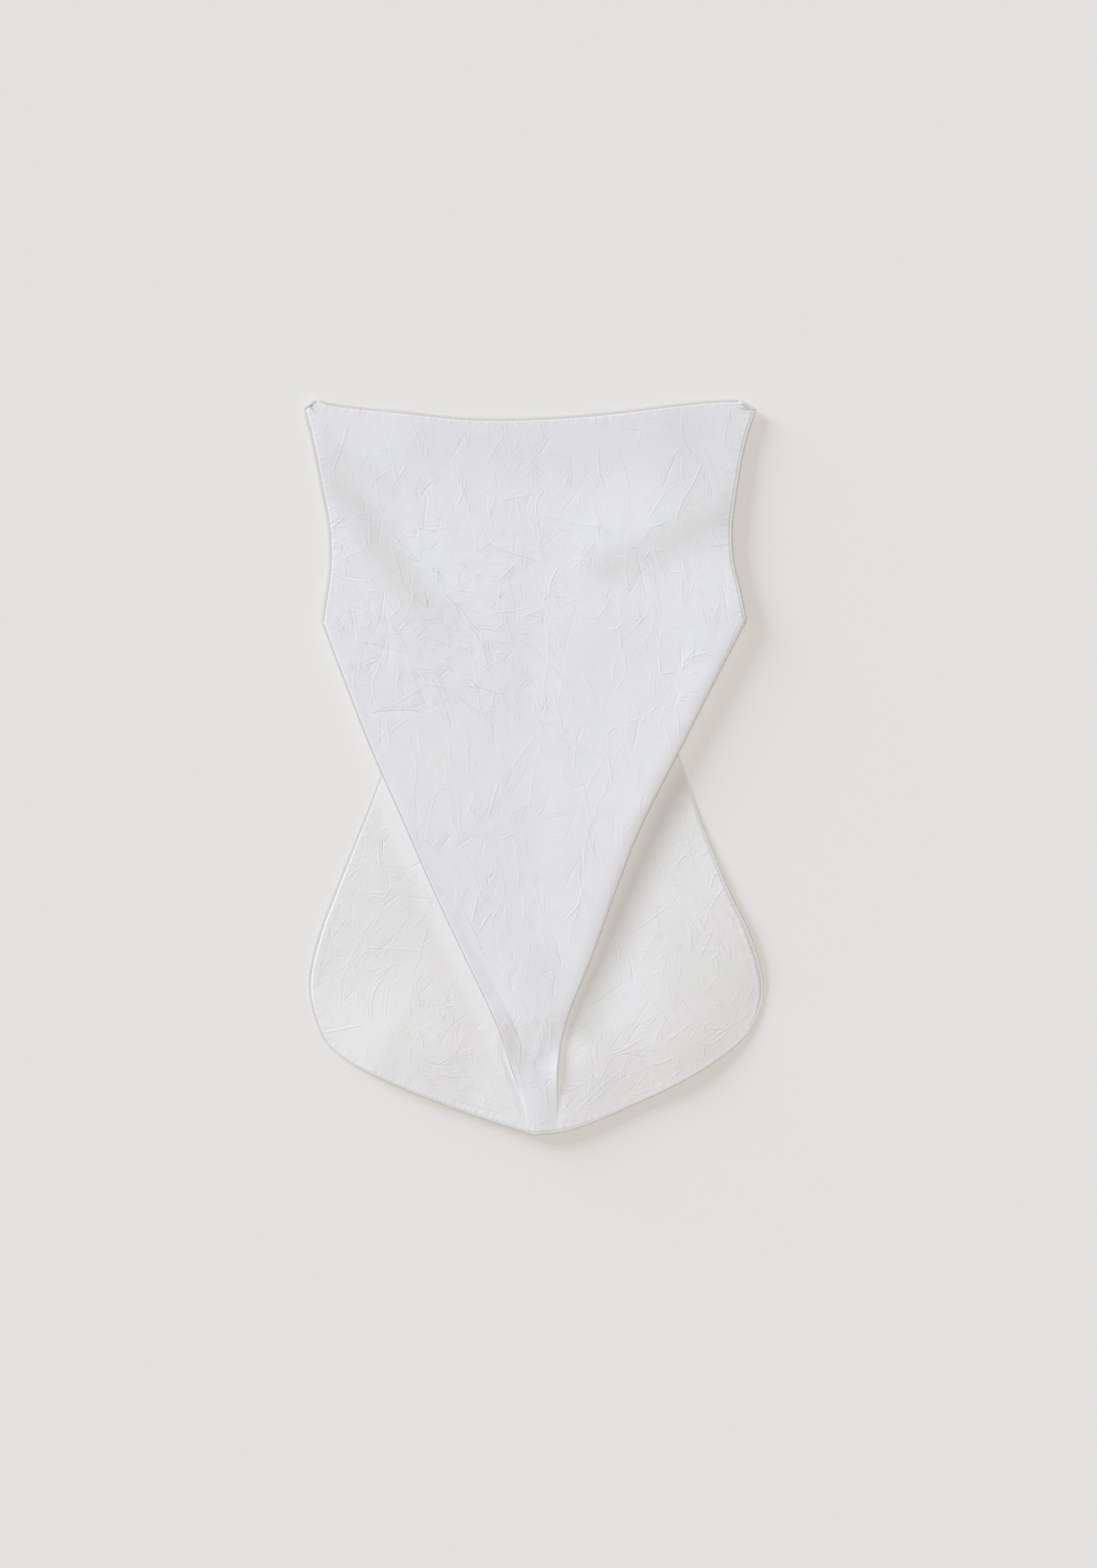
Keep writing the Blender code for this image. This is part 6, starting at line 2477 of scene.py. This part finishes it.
def front_creases() -> CreaseSet:
    """Collects the front's folds and creases.

    Returns:
        The creases, the placed ones first.
    """
    crests = {cut.side: curve_through(cut.side_fold) for cut in CUTS}

    def inside(x: float, level: float) -> bool:
        """Tests that a place lies on the front."""
        side = Side.LEFT if x > 0 else Side.RIGHT
        return FRONT_FOOT < level < CREASE_TOP and abs(x) < across_at(crests[side], level) - CREASE_MARGIN

    near_tip = Crumple(seed=24, starts=60, area=(-28, 8, 28, 120), lean=-30.0, inside=inside,
                       spread=30.0, strength=0.15)
    below_shoulder = Crumple(seed=22, starts=170, area=(-175, 370, 15, 570), lean=-55.0, inside=inside,
                             spread=30.0, strength=0.13)
    everywhere = Crumple(seed=21, starts=420, area=(-200, 0, 200, 650), lean=0.0, inside=inside)
    found = placed(FRONT_LINES + TIP_LINES)
    for crumple in (near_tip, below_shoulder, everywhere):
        found += crumple.creases()
    return CreaseSet(found, TERRACES)


def tail_creases(cut: SideCut, seed: int) -> CreaseSet:
    """Collects one tail's creases.

    Args:
        cut: the side.
        seed: the seed of the scattered ones.

    Returns:
        The creases, the placed ones first.
    """
    edge = np.array(cut.tail, float)
    outer = edge[:int(np.argmax(edge[:, 0])) + 1]

    def inside(x: float, level: float) -> bool:
        """Tests that a place lies on the tail."""
        across = x * cut.sign
        bottom = float(np.interp(across, edge[::-1, 0][:5], edge[::-1, 1][:5]))
        low, high = hidden_fold_across(level) + CREASE_MARGIN, across_at(outer, level) - CREASE_MARGIN
        return low < across < high and level > bottom + HEM_MARGIN

    found = [line for line in placed(TAIL_LINES + TIP_LINES) if line.points[0][0] * cut.sign > 0]
    found += Crumple(seed=seed + 20, starts=55, area=on_side(cut, (12, 4, 120, 115)), lean=42.0 * cut.sign,
                     inside=inside, spread=20.0, strength=0.13).creases()
    found += Crumple(seed=seed, starts=170, area=on_side(cut, (0, 0, 210, 490)), lean=20.0 * cut.sign,
                     inside=inside).creases()
    return CreaseSet(found)


def wing_creases(cut: SideCut, seed: int) -> CreaseSet:
    """Collects one hidden back wing's creases.

    Args:
        cut: the side.
        seed: the seed of the scattered ones.

    Returns:
        The creases.
    """
    crest = curve_through(cut.side_fold)

    def inside(x: float, level: float) -> bool:
        """Tests that a place lies on the wing."""
        low, high = hidden_fold_across(level) + CREASE_MARGIN, across_at(crest, level) - CREASE_MARGIN
        return WING_FOOT < level < CREASE_TOP and low < x * cut.sign < high

    return CreaseSet(Crumple(seed=seed, starts=70, area=on_side(cut, (0, 0, 200, 640)),
                             lean=12.0 * cut.sign, inside=inside).creases())


def main() -> None:
    """Builds the garment's looks and the studio."""
    logging.basicConfig(level=logging.INFO, format="%(message)s")
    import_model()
    relief = Relief(front_creases(), {cut.side: tail_creases(cut, TAIL_SEED + cut.sign) for cut in CUTS},
                    {cut.side: wing_creases(cut, WING_SEED + cut.sign) for cut in CUTS})
    grid = GridSizes()
    cotton, hem_cotton, thread = CrinkledCotton().build(), HemCotton().build(), SewingThread().build()
    lines = HemLines(relief, grid).build()
    cloth = ClothPiece(relief, grid, lines).build(cotton)
    LOG.info("%s: %d faces", cloth.name, len(cloth.data.polygons))
    trims = []
    for node, line in lines.items():
        trims += RolledHem(node, line).build(hem_cotton, thread)
    trims += [ShoulderSeam(cut).build(hem_cotton) for cut in CUTS]
    for piece in trims:
        LOG.info("%s: %d faces", piece.name, len(piece.data.polygons))
    Studio().build()


if __name__ == "__main__":
    main()
